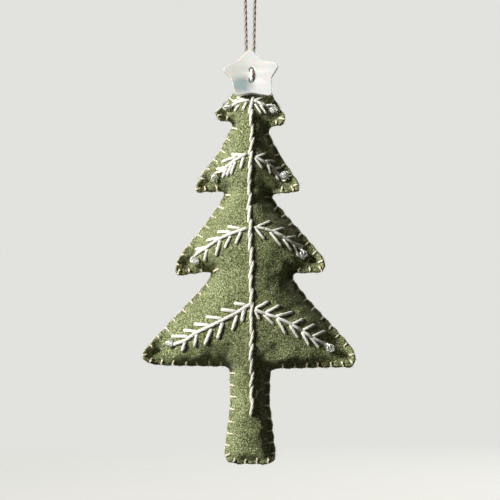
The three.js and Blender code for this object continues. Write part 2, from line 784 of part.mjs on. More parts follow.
const tails = [-1, 1].map((side) => thread(tailPoints(side), LOOP_THREAD, CORD_SIDES, TAIL_STEPS));
addMesh("loop_knot", geometryOf(joined([tiedKnot(), ...tails])), COLOURS.twine, 0.8);

part.position.z = -HOOK_HEIGHT;
export default part;
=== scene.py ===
# %% [markdown]
# # A stuffed felt tree to hang up
# The ornament is two felt panels sewn edge to edge around a soft filling. The front is embroidered
# with a stem and eight sprigs, each sprig ends in a glass bead, a shell star covers the top, and a
# loop of twine hangs it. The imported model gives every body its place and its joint. This lesson
# dresses that frame piece by piece, in metres, in the same frame.

# %% Load the frame
import math
import random

import bpy
import numpy as np
from mathutils import Matrix, Vector
from mathutils.bvhtree import BVHTree


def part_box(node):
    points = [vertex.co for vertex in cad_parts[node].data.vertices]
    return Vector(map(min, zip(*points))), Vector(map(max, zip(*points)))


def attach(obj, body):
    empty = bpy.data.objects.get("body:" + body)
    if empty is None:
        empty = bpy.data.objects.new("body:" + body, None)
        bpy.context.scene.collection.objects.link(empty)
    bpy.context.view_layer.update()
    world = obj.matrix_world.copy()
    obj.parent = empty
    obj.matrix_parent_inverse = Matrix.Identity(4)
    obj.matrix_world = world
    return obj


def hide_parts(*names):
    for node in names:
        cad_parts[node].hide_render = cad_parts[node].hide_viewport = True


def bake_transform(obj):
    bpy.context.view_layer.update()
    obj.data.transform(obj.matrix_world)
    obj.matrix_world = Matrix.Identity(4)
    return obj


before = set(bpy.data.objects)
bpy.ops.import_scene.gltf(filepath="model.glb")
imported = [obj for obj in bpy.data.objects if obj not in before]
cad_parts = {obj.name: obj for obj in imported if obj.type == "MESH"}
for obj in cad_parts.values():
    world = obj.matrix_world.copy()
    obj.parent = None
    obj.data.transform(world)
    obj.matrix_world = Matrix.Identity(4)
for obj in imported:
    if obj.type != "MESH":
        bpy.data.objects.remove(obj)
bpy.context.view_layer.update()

MM = 0.001
FELT_FOOT_HEIGHT = 0.4
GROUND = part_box("front_felt")[0].z - FELT_FOOT_HEIGHT * MM
scene = bpy.context.scene


def place(x, height, y=0.0):
    """A point given in millimetres: across, above the foot of the tree, and behind the seam."""
    return np.array([x * MM, y * MM, GROUND + height * MM])


def new_object(name, data):
    made = bpy.data.objects.new(name, data)
    scene.collection.objects.link(made)
    return made


FOOT = place(0, 0)

# %% [markdown]
# ## The camera
# The ornament was seen straight on, from a little distance. A long lens far away keeps the tiers from
# leaning, and the frame is as wide as the picture at the seam.

# %% Camera
PICTURE_WIDTH = 120.75
PICTURE_MIDDLE_HEIGHT = 51.9
CAMERA_DISTANCE = 0.7
SENSOR_WIDTH = 36

camera_data = bpy.data.cameras.new("camera")
camera_data.sensor_width = SENSOR_WIDTH
camera_data.lens = SENSOR_WIDTH * CAMERA_DISTANCE / (PICTURE_WIDTH * MM)
camera = new_object("camera", camera_data)
camera.location = (0, -CAMERA_DISTANCE, GROUND + PICTURE_MIDDLE_HEIGHT * MM)
camera.rotation_euler = (math.radians(90), 0, 0)
scene.camera = camera
print("lens", round(camera_data.lens, 1), "mm")

# %% [markdown]
# ## Thread
# All the sewing is thread: plies of yarn wound around one another. A curve with a round bevel would
# give a smooth wire, so each ply is laid as its own tube along a helix. The tubes of one piece are
# gathered and become one mesh, with two attributes for its material: how far along the thread a point
# is, and a tone of its own for each strand.


# %% Runs of thread
LEVEL = 0.8


def run_lengths(path):
    steps = np.linalg.norm(np.diff(path, axis=0), axis=1)
    return np.concatenate([[0.0], np.cumsum(steps)])


def smooth_run(points, spacing):
    """A smooth line through the points, with its own points so many millimetres apart."""
    knots = np.asarray(points, float)
    at = run_lengths(knots)
    slopes = np.gradient(knots, at, axis=0)
    here = np.linspace(0, at[-1], max(3, int(round(at[-1] / (spacing * MM))) + 1))
    i = np.clip(np.searchsorted(at, here, side="right") - 1, 0, len(at) - 2)
    gap = at[i + 1] - at[i]
    t = ((here - at[i]) / gap)[:, None]
    gap = gap[:, None]
    ends = knots[i] * (1 + 2 * t) * (1 - t) ** 2 + knots[i + 1] * t * t * (3 - 2 * t)
    return ends + gap * (slopes[i] * t * (1 - t) ** 2 + slopes[i + 1] * t * t * (t - 1))


def side_vectors(path):
    """Two unit vectors square to the path at each point, carried along it without turning. The
    first starts from y, or from x where the path itself starts along y."""
    along = np.gradient(path, axis=0)
    along /= np.linalg.norm(along, axis=1)[:, None]
    first = np.array([0.0, 1.0, 0.0] if abs(along[0, 1]) < LEVEL else [1.0, 0.0, 0.0])
    across = []
    for direction in along:
        first = first - direction * np.dot(first, direction)
        first = first / np.linalg.norm(first)
        across.append(first)
    across = np.array(across)
    return across, np.cross(along, across)


class Threads:
    """Gathers strands, and makes one mesh of them."""

    def __init__(self):
        self.points, self.faces, self.along, self.tone = [], [], [], []
        self.count = 0

    def strand(self, path, radius, sides, tone):
        """One round strand along a path, with one radius or a radius for each point."""
        across, up = side_vectors(path)
        radius = np.broadcast_to(radius, len(path))
        turn = 2 * np.pi * np.arange(sides) / sides
        ring = across[:, None] * np.cos(turn)[None, :, None] + up[:, None] * np.sin(turn)[None, :, None]
        self.points.append((path[:, None] + ring * radius[:, None, None]).reshape(-1, 3))
        self.along.append(np.repeat(run_lengths(path) / MM, sides))
        self.tone.append(np.full(len(path) * sides, tone))
        for k in range(len(path) - 1):
            low = self.count + k * sides
            for j in range(sides):
                step = (j + 1) % sides
                self.faces.append((low + j, low + step, low + sides + step, low + sides + j))
        last = self.count + (len(path) - 1) * sides
        self.faces.append(tuple(range(self.count + sides - 1, self.count - 1, -1)))
        self.faces.append(tuple(range(last, last + sides)))
        self.count += len(path) * sides

    def spun(self, path, yarn, draw, sides=5, squeeze=1.0):
        """Plies wound around a path. A yarn is how many plies, and their offset, radius and pitch in
        millimetres. Squeeze is a share of the full width, for all points or for each point."""
        plies, offset, radius, pitch = yarn
        across, up = side_vectors(path)
        width = np.broadcast_to(squeeze, len(path)) * MM
        start = draw.random()
        for k in range(plies):
            angle = 2 * np.pi * (k / plies + start + run_lengths(path) / (pitch * MM))
            out = across * np.cos(angle)[:, None] + up * np.sin(angle)[:, None]
            self.strand(path + out * (offset * width)[:, None], radius * width, sides, draw.random())

    def make(self, name):
        mesh = bpy.data.meshes.new(name)
        mesh.from_pydata(np.concatenate(self.points).tolist(), [], self.faces)
        for label, values in (("along", self.along), ("tone", self.tone)):
            attribute = mesh.attributes.new(label, "FLOAT", "POINT")
            attribute.data.foreach_set("value", np.concatenate(values).astype(np.float32))
        mesh.polygons.foreach_set("use_smooth", np.ones(len(mesh.polygons), bool))
        mesh.update()
        print(name, len(self.faces), "faces")
        return new_object(name, mesh)


# %% [markdown]
# ## The hanging loop
# A doubled length of three-ply twine comes out of the top of the seam, runs up behind the star and
# turns over the hook. It is a cord of fixed length, so its route repeats the solids' route. Two short,
# straight ends carry the strands on down into the seam.

# %% Hanging cord
TWINE = 0.8
TWINE_YARN = (3, 0.19, 0.21, 4.2)
TWINE_SIDES = 6
TWINE_SPACING = 0.11
CORD_SIDE = 0.9
SEAM_ENTRY = -20.6
TAIL_END = -24.0
STRAND_ROUTE = [(CORD_SIDE, SEAM_ENTRY), (0.95, -17.35), (1.02, -13.35), (1.1, -9.35)]
BIGHT_ROUTE = [(1.22, -6.35), (1.55, -3.35), (1.75, -1.35), (1.24, -0.11), (0, 0.4)]
STRAY_FIBRES = 70
STRAY_REACH = 0.45
STRAY_ENDS = (4, 12)
STRAY_RUN = 8
STRAY_RUN_SHARE = (0.6, 1.4)
STRAY_LIFT_SHARE = (0.4, 1.0)
STRAY_ROOT_SHARE = 0.8
STRAY_RADII = (0.022, 0.008)
STRAY_SPACING = 0.3

half_route = STRAND_ROUTE + BIGHT_ROUTE
route = [(-x, z) for x, z in half_route] + half_route[-2::-1]
cord_path = smooth_run([(x * MM, 0, z * MM) for x, z in route], TWINE_SPACING)
cord_draw = random.Random(3)


def twine(path):
    threads = Threads()
    threads.spun(path, TWINE_YARN, cord_draw, TWINE_SIDES)
    return threads


def stray_fibres(threads, path):
    """Fine ends of fibre that stand away from a twine."""
    across, up = side_vectors(path)
    for _ in range(STRAY_FIBRES):
        k = cord_draw.randrange(STRAY_ENDS[0], len(path) - STRAY_ENDS[1])
        angle = cord_draw.uniform(0, 2 * math.pi)
        out = across[k] * math.cos(angle) + up[k] * math.sin(angle)
        run = (path[k + STRAY_RUN] - path[k]) * cord_draw.uniform(*STRAY_RUN_SHARE)
        run = run * cord_draw.choice((-1, 1))
        lift = STRAY_REACH * cord_draw.uniform(*STRAY_LIFT_SHARE) * MM
        root = path[k] + out * TWINE / 2 * STRAY_ROOT_SHARE * MM
        stops = [root, root + run * 0.5 + out * lift * 0.8, root + run + out * lift]
        fibre = smooth_run(stops, STRAY_SPACING)
        threads.strand(fibre, np.linspace(*STRAY_RADII, len(fibre)) * MM, 3, cord_draw.random())


loop_threads = twine(cord_path)
stray_fibres(loop_threads, cord_path)
hanging_cord = loop_threads.make("hanging_cord")
cord_tails = []
for name, side in (("cord_end_left", -1), ("cord_end_right", 1)):
    heights = (SEAM_ENTRY, (SEAM_ENTRY + TAIL_END) / 2, TAIL_END)
    ends = [(side * CORD_SIDE * MM, 0, z * MM) for z in heights]
    cord_tails.append(twine(smooth_run(ends, TWINE_SPACING)).make(name))

# %% [markdown]
# ## The felt outline
# Both panels are cut from one pattern: four tiers of branches over a short trunk. The pattern's corners
# are written as places in millimetres with the radius that the scissors left, and a small function
# rounds them. Evenly spaced points with an inward direction then serve the cutting and the sewing.

# %% Pattern
PATTERN_TOP = (0, 98.4, 2)
LEFT_EDGE = [
    (-3.6, 90.2, 4), (-8.7, 84.5, 1.5), (-7.3, 83.0, 0.8), (-3.9, 82.6, 0.4), (-7.3, 75.9, 9),
    (-11.7, 70.1, 5), (-13.6, 65.7, 0.8), (-5.5, 65.95, 0.4), (-10.0, 59.3, 9), (-16.4, 51.3, 3),
    (-18.1, 48.2, 2), (-17.9, 45.6, 2.6), (-8.6, 46.8, 0.4), (-11.2, 43.2, 4), (-23.6, 30.1, 3),
    (-26.3, 26.7, 1.0), (-24.7, 24.8, 2.2), (-21.7, 24.1, 3), (-5.0, 23.75, 1.0),
]
RIGHT_EDGE = [
    (5.1, 89.9, 4), (8.75, 83.6, 1.5), (7.9, 81.9, 1.2), (4.4, 81.4, 0.5), (4.8, 79.6, 5),
    (7.5, 74.5, 12), (10.8, 69.4, 4), (12.1, 67.5, 1.6), (11.6, 65.8, 1.6), (4.6, 65.3, 0.4),
    (8.2, 61.0, 9), (16.7, 51.3, 2.4), (18.2, 49.0, 1.6), (17.8, 46.5, 2.4), (9.8, 46.3, 0.4),
    (11.0, 44.0, 4), (14.0, 40.1, 10), (24.0, 29.2, 2.4), (25.35, 26.9, 1.6), (25.3, 23.75, 1.8),
    (5.0, 23.4, 1.0),
]
TRUNK = [(4.8, 15.5, 10), (6.55, 0.35, 2.8), (-6.55, 0.35, 2.8), (-4.8, 15.5, 10)]
OUTLINE_SPACING = 0.4
CORNER_SHARE = 0.48
BATCH = 4000


def rounded(corners, steps=6):
    """Corners of (across, up, radius) as points, each corner replaced by a short curve."""
    points = []
    for i, (x, z, radius) in enumerate(corners):
        corner = np.array([x, z])
        before = np.array(corners[i - 1][:2]) - corner
        after = np.array(corners[(i + 1) % len(corners)][:2]) - corner
        sizes = np.linalg.norm(before), np.linalg.norm(after)
        half = math.acos(np.clip(np.dot(before, after) / (sizes[0] * sizes[1]), -1, 1)) / 2
        reach = min(radius / math.tan(half), CORNER_SHARE * min(sizes))
        start, end = corner + before / sizes[0] * reach, corner + after / sizes[1] * reach
        for t in np.linspace(0, 1, steps):
            points.append(start * (1 - t) ** 2 + 2 * corner * t * (1 - t) + end * t * t)
    return np.array(points)


def even_ring(points, spacing):
    """The closed line through the points, with evenly spaced points of its own, and its length."""
    ring = np.vstack([points, points[:1]])
    at = run_lengths(ring)
    count = int(round(at[-1] / spacing))
    here = np.arange(count) * at[-1] / count
    return np.column_stack([np.interp(here, at, ring[:, k]) for k in (0, 1)]), at[-1]


pattern = [PATTERN_TOP, *RIGHT_EDGE, *TRUNK, *reversed(LEFT_EDGE)]
outline, seam_length = even_ring(rounded(pattern), OUTLINE_SPACING)
forward = np.roll(outline, -1, axis=0) - np.roll(outline, 1, axis=0)
forward /= np.linalg.norm(forward, axis=1)[:, None]
inward = np.column_stack([forward[:, 1], -forward[:, 0]])


def edge_distance(points):
    """How far each point (across, up) is from the outline, and the nearest outline point's number."""
    nearest = np.empty(len(points), int)
    distance = np.empty(len(points))
    for low in range(0, len(points), BATCH):
        part = slice(low, low + BATCH)
        gaps = np.linalg.norm(points[part, None] - outline[None], axis=2)
        nearest[part], distance[part] = gaps.argmin(axis=1), gaps.min(axis=1)
    return distance, nearest


# %% [markdown]
# ## The stuffed form
# The two panels are sewn flat and then filled, so their roundness comes from pressure inside a closed
# seam. A double blank is cut from the pattern and remeshed into even quads, and its rim is laid back on
# the outline. It is crowned as a thin skin under pressure would be, so that the filling reaches into
# each tier, though less into the tips and under the left-hand slopes. Blender's cloth simulation then
# swells it a little, with its seam pinned. Cloth works best near a metre in size, so the blank is sewn
# ten times too large and brought back afterwards.

# %% Crown of the filling
SEAM_ALLOWANCE = 1.3
CROWN_GRID = 0.6
CROWN_MARGIN = 2
CROWN_SWEEPS = 400
CROWN_RELAXATION = 1.93
CROWN_SOFTNESS = 0.5
CROWN_LIMIT = 7.4
CROWN_CAP = 4


def inside(points):
    """Which of the points (across, up) lie inside the outline."""
    found = np.zeros(len(points), bool)
    for a, b in zip(outline, np.roll(outline, 1, axis=0)):
        crosses = (a[1] > points[:, 1]) != (b[1] > points[:, 1])
        run = (points[:, 1] - a[1]) / (b[1] - a[1] if b[1] != a[1] else 1)
        found ^= crosses & (points[:, 0] < a[0] + run * (b[0] - a[0]))
    return found


low, high = outline.min(axis=0) - CROWN_MARGIN, outline.max(axis=0) + CROWN_MARGIN
across, upward = (np.arange(low[k], high[k], CROWN_GRID) for k in (0, 1))
cells = np.array([(x, z) for z in upward for x in across])
is_filled = inside(cells) & (edge_distance(cells)[0] > SEAM_ALLOWANCE)
is_filled = is_filled.reshape(len(upward), len(across))
checker = np.indices(is_filled.shape).sum(axis=0) % 2
press = np.zeros(is_filled.shape)
for _ in range(CROWN_SWEEPS):
    for colour in (0, 1):
        around = sum(np.roll(press, step, axis) for step in (-1, 1) for axis in (0, 1))
        change = CROWN_RELAXATION * ((around + CROWN_GRID**2) / 4 - press)
        press += np.where(is_filled & (checker == colour), change, 0)


def crown(x, z):
    """Height of the filled felt above its flat seam."""
    u = np.clip((x - across[0]) / CROWN_GRID, 0, len(across) - 1.01)
    v = np.clip((z - upward[0]) / CROWN_GRID, 0, len(upward) - 1.01)
    i, j = u.astype(int), v.astype(int)
    s, t = u - i, v - j
    lower = press[j, i] * (1 - s) + press[j, i + 1] * s
    upper = press[j + 1, i] * (1 - s) + press[j + 1, i + 1] * s
    pressure = 2 * (lower * (1 - t) + upper * t)
    free = np.sqrt(pressure + CROWN_SOFTNESS**2) - CROWN_SOFTNESS
    return free / (1 + (free / CROWN_LIMIT) ** CROWN_CAP) ** (1 / CROWN_CAP)


print("crown up to", crown(cells[:, 0], cells[:, 1]).max().round(2), "mm")

# %% Double blank
SEWING_SCALE = 10
RIM = 1.35
RIM_STEP = 0.35
WALL_SLACK = 0.15
FINE_GRID = 0.8


def deselect():
    bpy.ops.object.select_all(action="DESELECT")


def edit_all():
    """Open the active mesh to the operators, with all of it selected."""
    bpy.ops.object.mode_set(mode="EDIT")
    bpy.ops.mesh.select_all(action="SELECT")


def close_mesh():
    bpy.ops.object.mode_set(mode="OBJECT")


def numbers(mesh):
    values = np.empty(len(mesh.vertices) * 3, np.float32)
    mesh.vertices.foreach_get("co", values)
    return values.reshape(-1, 3).astype(float)


def put(mesh, points):
    mesh.vertices.foreach_set("co", points.astype(np.float32).ravel())
    mesh.update()


deselect()
bpy.ops.mesh.primitive_circle_add(vertices=len(outline), radius=0.1, fill_type="NGON")
blank = bpy.context.object
blank.name = "stuffed_form"
flat = np.column_stack([outline[:, 0], np.full(len(outline), -RIM), outline[:, 1]])
put(blank.data, flat * MM * SEWING_SCALE)
edit_all()
thickness = 2 * RIM * MM * SEWING_SCALE
bpy.ops.mesh.extrude_region_move(TRANSFORM_OT_translate={"value": (0, thickness, 0)})
edit_all()
bpy.ops.mesh.normals_make_consistent(inside=False)
close_mesh()
blank.data.remesh_voxel_size = FINE_GRID * MM * SEWING_SCALE
bpy.ops.object.voxel_remesh()
form = numbers(blank.data) / (MM * SEWING_SCALE)
distance, nearest = edge_distance(form[:, [0, 2]])
is_wall = np.abs(form[:, 1]) < RIM - WALL_SLACK
is_over = ~is_wall & (~inside(form[:, [0, 2]]) | (distance < RIM_STEP))
on_line = is_wall | is_over
rim_line = outline[nearest] + inward[nearest] * RIM_STEP * is_over[:, None]
form[on_line, 0], form[on_line, 2] = rim_line[on_line].T
print("blank:", len(form), "points,", on_line.sum(), "of them laid on the outline")

# %% Fill it
SEAM_HELD = 1.5
SEAM_EASED = 0.8
FRAMES = 18
MOST_SWELL = 0.7
TIPS = [
    (-8.2, 84.3, 3.4), (8.3, 83.2, 3.2), (-13.1, 66.2, 5.5), (11.7, 66.9, 5.5), (-17.7, 47.0, 6.2),
    (17.8, 48.0, 6.2), (-25.6, 26.6, 6.2), (25.0, 25.4, 6.2),
]
TIP_THIN = 0.92
FLANGE_THIN = 0.5
FLANGE_WIDTH = 2.4
FLANGE_FROM = 6
FLANGE_OVER = 7
FLANGE_SLOPE = 0.4
CLOTH = {
    "quality": 6, "mass": 0.25, "tension_stiffness": 14, "compression_stiffness": 14,
    "shear_stiffness": 9, "bending_stiffness": 2.0, "shrink_min": -0.025, "use_pressure": True,
    "uniform_pressure_force": 3, "vertex_group_mass": "seam",
}


def tip_share(points):
    """How much each place (across, up) belongs to the tip of a branch."""
    tips = np.array(TIPS)
    gaps = np.linalg.norm(points[:, None] - tips[None, :, :2], axis=2) / tips[:, 2]
    return np.exp(-(gaps.min(axis=1) ** 2))


distance, nearest = edge_distance(form[:, [0, 2]])
left_side = np.clip((-form[:, 0] - FLANGE_FROM) / FLANGE_OVER, 0, 1)
slopes = left_side * np.clip(FLANGE_SLOPE - inward[nearest, 1], 0, 1)
flange = FLANGE_THIN * slopes * np.exp(-distance / FLANGE_WIDTH)
thinned = (1 - TIP_THIN * tip_share(form[:, [0, 2]])) * (1 - flange)
form[:, 1] += np.sign(form[:, 1]) * thinned * crown(form[:, 0], form[:, 2])
put(blank.data, form * MM * SEWING_SCALE)
hold = np.clip(1 - (distance - SEAM_HELD) / SEAM_EASED, 0, 1)
pins = blank.vertex_groups.new(name="seam")
for index in np.nonzero(hold > 0)[0]:
    pins.add([int(index)], float(hold[index]), "REPLACE")
filling = blank.modifiers.new("filling", "CLOTH")
for setting, value in CLOTH.items():
    setattr(filling.settings, setting, value)
filling.settings.effector_weights.gravity = 0
filling.point_cache.frame_end = FRAMES
for number in range(1, FRAMES + 1):
    scene.frame_set(number)
bpy.ops.object.modifier_apply(modifier=filling.name)
scene.frame_set(1)
swelled = numbers(blank.data) / (MM * SEWING_SCALE)
swell = swelled - form
size = np.linalg.norm(swell, axis=1)
form = form + swell * np.minimum(1, MOST_SWELL / np.maximum(size, 1e-6))[:, None]
reached = np.abs(form[:, 1]).max()
print("swelled by up to", size.max().round(2), "mm, to", reached.round(2), "mm each way")

# %% [markdown]
# ## The embroidery's layout
# Every stitch was measured once, in millimetres across and above the foot. A side stitch is one line of
# four numbers, from the stem outwards. The layout comes before the felt is finished, because each
# stitch draws a small dimple in the felt where it goes through.

# %% Layout of the stitches
SPRIGS = {
    "left_1": {
        "stem": [(-0.3, 87.8), (-2.6, 87.4), (-4.2, 86.5)],
        "sides": [
            (-1.3, 88, -3, 88.5), (-2.6, 87.6, -3.9, 87.7), (-1, 87, -1.6, 85.6),
            (-2.8, 86.3, -3.6, 85.2),
        ],
        "bead": (-5.6, 86.5),
    },
    "right_1": {
        "stem": [(0.8, 87.6), (1.9, 87.4), (3.1, 86.5)],
        "sides": [
            (0.9, 87.8, 3.1, 88.4), (1.3, 86.6, 2.7, 84.5), (2.7, 86.3, 3.8, 84.5),
            (3.1, 86.9, 4.8, 85.6),
        ],
        "bead": (5.6, 85.6),
    },
    "left_2": {
        "stem": [(-1, 74.8), (-3, 73.6), (-4.1, 72.9), (-5.8, 71.6), (-7.3, 70.7)],
        "sides": [
            (-1.8, 74.6, -4.4, 74.8), (-3.7, 74, -6.8, 72.9), (-5.7, 71.7, -8.1, 71.3),
            (-6.3, 70.9, -8.4, 70.3), (-1.6, 73.7, -2.2, 71.4), (-3.5, 72.7, -4.5, 69.9),
            (-4.4, 72, -5.5, 69.6), (-5.6, 71.2, -6.5, 69.2),
        ],
        "bead": (-8.5, 69.3),
    },
    "right_2": {
        "stem": [(1.3, 74.2), (3.4, 72.9), (4.4, 72.5), (5.5, 71.4), (6.4, 70.5), (7.4, 69.3)],
        "sides": [
            (1.6, 74.2, 3.5, 74.9), (3.9, 73.2, 5.7, 73.2), (5.8, 71.5, 7.4, 71.7),
            (1.2, 73.7, 3, 71.4), (4.2, 72.3, 4.8, 70.2), (5.4, 70.9, 6.7, 68.6),
        ],
        "bead": (8.3, 69.8),
    },
    "left_3": {
        "stem": [
            (-0.9, 57.1), (-2.4, 56.5), (-4.8, 55.7), (-7.5, 54.4), (-10.1, 52.6), (-13, 50.7),
        ],
        "sides": [
            (-2.4, 57, -5.3, 57.5), (-4.8, 56.2, -7.8, 56.1), (-7.8, 54.7, -10.3, 54.1),
            (-10.4, 52.6, -13.2, 52), (-10.9, 52, -12.9, 51.3), (-2.2, 56.1, -3.4, 53.3),
            (-4.7, 55, -6, 52.3), (-7.1, 53.9, -8.1, 50.4), (-10.2, 51.7, -10.8, 49.3),
        ],
        "bead": (-13.2, 49.3),
    },
    "right_3": {
        "stem": [(1.1, 57.3), (3.5, 56.9), (5.7, 56.2), (7.7, 55.2), (9.9, 53.7), (11.6, 52.7)],
        "sides": [
            (2, 57.6, 4.9, 58.8), (5.7, 56.5, 8.2, 57.1), (8.8, 54.8, 10.8, 55.1),
            (11, 53.3, 12.8, 52.7), (1.4, 56.9, 3.5, 54.4), (4.9, 55.9, 7.5, 52.7),
            (8.1, 54.2, 9.9, 51.6), (10.3, 53, 11.5, 50.2),
        ],
        "bead": (12.7, 50.8),
    },
    "left_4": {
        "stem": [
            (-0.2, 38.8), (-3.6, 36.7), (-6.9, 35), (-9.7, 33.6), (-12.6, 32.1), (-15.2, 30.4),
            (-18.6, 29),
        ],
        "sides": [
            (-1.4, 38.9, -3.7, 39.2), (-3.6, 37.3, -6.9, 37.7), (-6.9, 35.6, -10.5, 35.9),
            (-10, 34, -13.4, 34.1), (-12.8, 32.3, -15.9, 32.7), (-15.2, 31.2, -18.9, 31.2),
            (-1.4, 37.8, -1.9, 34.9), (-3.2, 36, -4.2, 32.7), (-6.6, 34.3, -7.7, 30.7),
            (-9.3, 32.7, -10.8, 29.2), (-12.7, 31.4, -13.2, 28.8), (-15.4, 30.1, -16.2, 27.7),
        ],
        "bead": (-19.2, 29.6),
    },
    "right_4": {
        "stem": [
            (1.2, 37.7), (3.6, 36.7), (6.4, 35.8), (9.9, 34.1), (12.5, 32.5), (14.7, 31),
            (18.4, 29),
        ],
        "sides": [
            (1.4, 38.1, 4.5, 39.7), (3.8, 37, 7.1, 38.8), (6.4, 36.2, 10.4, 37.1),
            (9.9, 34.1, 12.8, 35.4), (12.7, 32.7, 15.4, 34.1), (14.9, 31.2, 18, 32.5),
            (1.2, 37.3, 2.3, 35.3), (3.5, 36.3, 5.7, 34.1), (6.5, 35.4, 8.6, 31.7),
            (9.7, 33.6, 11.5, 30.8), (12.5, 31.9, 14.1, 29.1), (14.5, 30.8, 16.5, 28.4),
        ],
        "bead": (19.2, 28.3),
    },
}
STEM_LINE = [
    (0.4, 12.2), (0.5, 14), (0.3, 17.1), (0.5, 21), (0.2, 27), (0.5, 30.9), (0.2, 36.2), (0.5, 38.6),
    (0.1, 44), (0.5, 48.5), (0, 53.6), (0.1, 57.7), (-0.3, 61.6), (-0.1, 64), (-0.2, 67.1),
    (0.1, 73.2), (0.4, 77.8), (0.5, 81.6), (0.2, 84), (0.5, 88.9),
]
STEM_STITCH = 4.5
STEM_ADVANCE = 3.35
EDGE_PITCH = 2.9


def stem_x(height):
    return np.interp(height, [h for _, h in STEM_LINE], [x for x, _ in STEM_LINE])


stem_foot, stem_top = STEM_LINE[0][1], STEM_LINE[-1][1]
stem_count = round((stem_top - stem_foot - STEM_STITCH) / STEM_ADVANCE)
stem_tops = np.linspace(stem_top, stem_foot + STEM_STITCH, stem_count + 1)
side_stitches = [line for sprig in SPRIGS.values() for line in sprig["sides"]]
needle_holes = np.array([end for line in side_stitches for end in (line[:2], line[2:])])
edge_count = round(seam_length / EDGE_PITCH)
edge_places = (np.arange(edge_count) + 0.5) * seam_length / edge_count
print(len(side_stitches), "side stitches,", stem_count + 1, "on the stem,", edge_count, "on the edge")

# %% [markdown]
# ## The felt takes its shape from the sewing
# Thread shapes felt: the stem stitch creases the front into a soft ridge, each stitch end dimples it,
# and each stitch on the edge draws the rim in and pinches the two layers together. The seam makes room
# for the cord, and the felt lies flat behind the star. These are small moves of the simulated points,
# so they come before the panels are parted and thickened. The tips and the right-hand hems also curl
# forward, both layers together. That waits until the panels are parted, and the edge thread follows it.

# %% Crease, dimples and pinched edge
RIDGE = 0.5
TRUNK_RIDGE = 0.95
TOP_RIDGE = 1.45
RIDGE_HEIGHTS = (16, 28, 76, 82)
RIDGE_WIDTH = 3.0
RIDGE_CROWN = 2
RIDGE_PAST = 2
RIDGE_FADE = 4
DIMPLE = 0.3
DIMPLE_WIDTH = 0.75
PULL = (0.55, 1.25)
PINCH_IN = 0.2
PINCH_THIN = 0.24
PINCH_WIDTH = 0.8
PINCH_REACH = 2.6
CORD_ROOM = 0.32
CORD_SPREAD = 0.7
CORD_FOOT = 92
CORD_FADE = 3
TIP_CURL = 4.0
EDGE_CURL = 0.45
HEM_CURL = (0.7, 3.8)
HEM_TURNS = 8
CURL_REACH = 4.0
HEM_REACH = 6.5
CURL_ROLL = 1.3
LOW_HEM = (30, 42)
LOW_HEM_RISE = 0.15
LOW_HEM_EASE = 0.55
CURL_TOP = 92
CURL_FADE = 4
STAR_PLANE = (-3.214, 94.1, 14)
STAR_PRESS = (7.2, 10.0)
STAR_ROOM = 0.15


def curl(points, deep, way_up):
    """How far the rim turns forward. The way in from the outline points up along the lower hems."""
    hem = np.interp(points[:, 0], (-HEM_TURNS, HEM_TURNS), HEM_CURL)
    most = EDGE_CURL + (hem - EDGE_CURL) * np.clip(way_up, 0, 1)
    most = most + (TIP_CURL - most) * tip_share(points)
    most = most * np.clip((CURL_TOP - points[:, 1]) / CURL_FADE, 0, 1)
    right_hem = np.clip(way_up, 0, 1) * np.clip(points[:, 0] / HEM_TURNS, 0, 1)
    reach = CURL_REACH + (HEM_REACH - CURL_REACH) * right_hem
    share = np.clip(1 - deep / reach, 0, 1)
    rolled = share**CURL_ROLL
    eased = share**2 * (3 - 2 * share)
    low_hem = right_hem * np.interp(points[:, 1], LOW_HEM, (1, 0))
    return most * (rolled + (LOW_HEM_RISE * share + LOW_HEM_EASE * (eased - rolled)) * low_hem)


def turn_rim(mesh):
    points = (numbers(mesh) - FOOT) / MM
    deep, near = edge_distance(points[:, [0, 2]])
    points[:, 1] -= curl(points[:, [0, 2]], deep, inward[near, 1])
    put(mesh, points * MM + FOOT)


sew_draw = random.Random(11)
x, y, z = form.T
is_front = y < 0
crowned = np.clip((np.abs(y) - RIM) / RIDGE_CROWN, 0, 1)
fade = np.clip((z - stem_foot + RIDGE_PAST) / RIDGE_FADE, 0, 1)
fade = fade * np.clip((stem_top + RIDGE_PAST - z) / RIDGE_FADE, 0, 1)
ridge = np.interp(z, RIDGE_HEIGHTS, (TRUNK_RIDGE, RIDGE, RIDGE, TOP_RIDGE)) * crowned * fade
ridge = ridge * np.exp(-np.abs(x - stem_x(z)) / RIDGE_WIDTH)
y = y - np.where(is_front, ridge, 0)
dimple = np.zeros(len(x))
for hole in needle_holes:
    dimple = np.maximum(dimple, np.exp(-((x - hole[0]) ** 2 + (z - hole[1]) ** 2) / DIMPLE_WIDTH**2))
y = y + np.where(is_front & (distance > PINCH_REACH / 2), DIMPLE * dimple, 0)
seam_step = seam_length / len(outline)
pulls = np.array([sew_draw.uniform(*PULL) for _ in range(edge_count)])
stitch_number = np.clip((nearest * seam_step / seam_length * edge_count).astype(int), 0, edge_count - 1)
off_stitch = nearest * seam_step - edge_places[stitch_number]
pinch = np.exp(-((off_stitch / PINCH_WIDTH) ** 2)) * np.clip(1 - distance / PINCH_REACH, 0, 1)
pinch *= pulls[stitch_number]
x = x + inward[nearest, 0] * PINCH_IN * pinch
z = z + inward[nearest, 1] * PINCH_IN * pinch
y = y * (1 - PINCH_THIN * pinch)
near_cord = np.exp(-(((np.abs(x) - CORD_SIDE) / CORD_SPREAD) ** 2))
y = y + np.sign(y) * CORD_ROOM * (near_cord * np.clip((z - CORD_FOOT) / CORD_FADE, 0, 1))
plane_y, plane_height, star_lean = STAR_PLANE
star_back = plane_y + (z - plane_height) * math.tan(math.radians(star_lean)) + STAR_ROOM
from_star = np.hypot(x, z - plane_height)
press_share = np.clip((STAR_PRESS[1] - from_star) / (STAR_PRESS[1] - STAR_PRESS[0]), 0, 1)
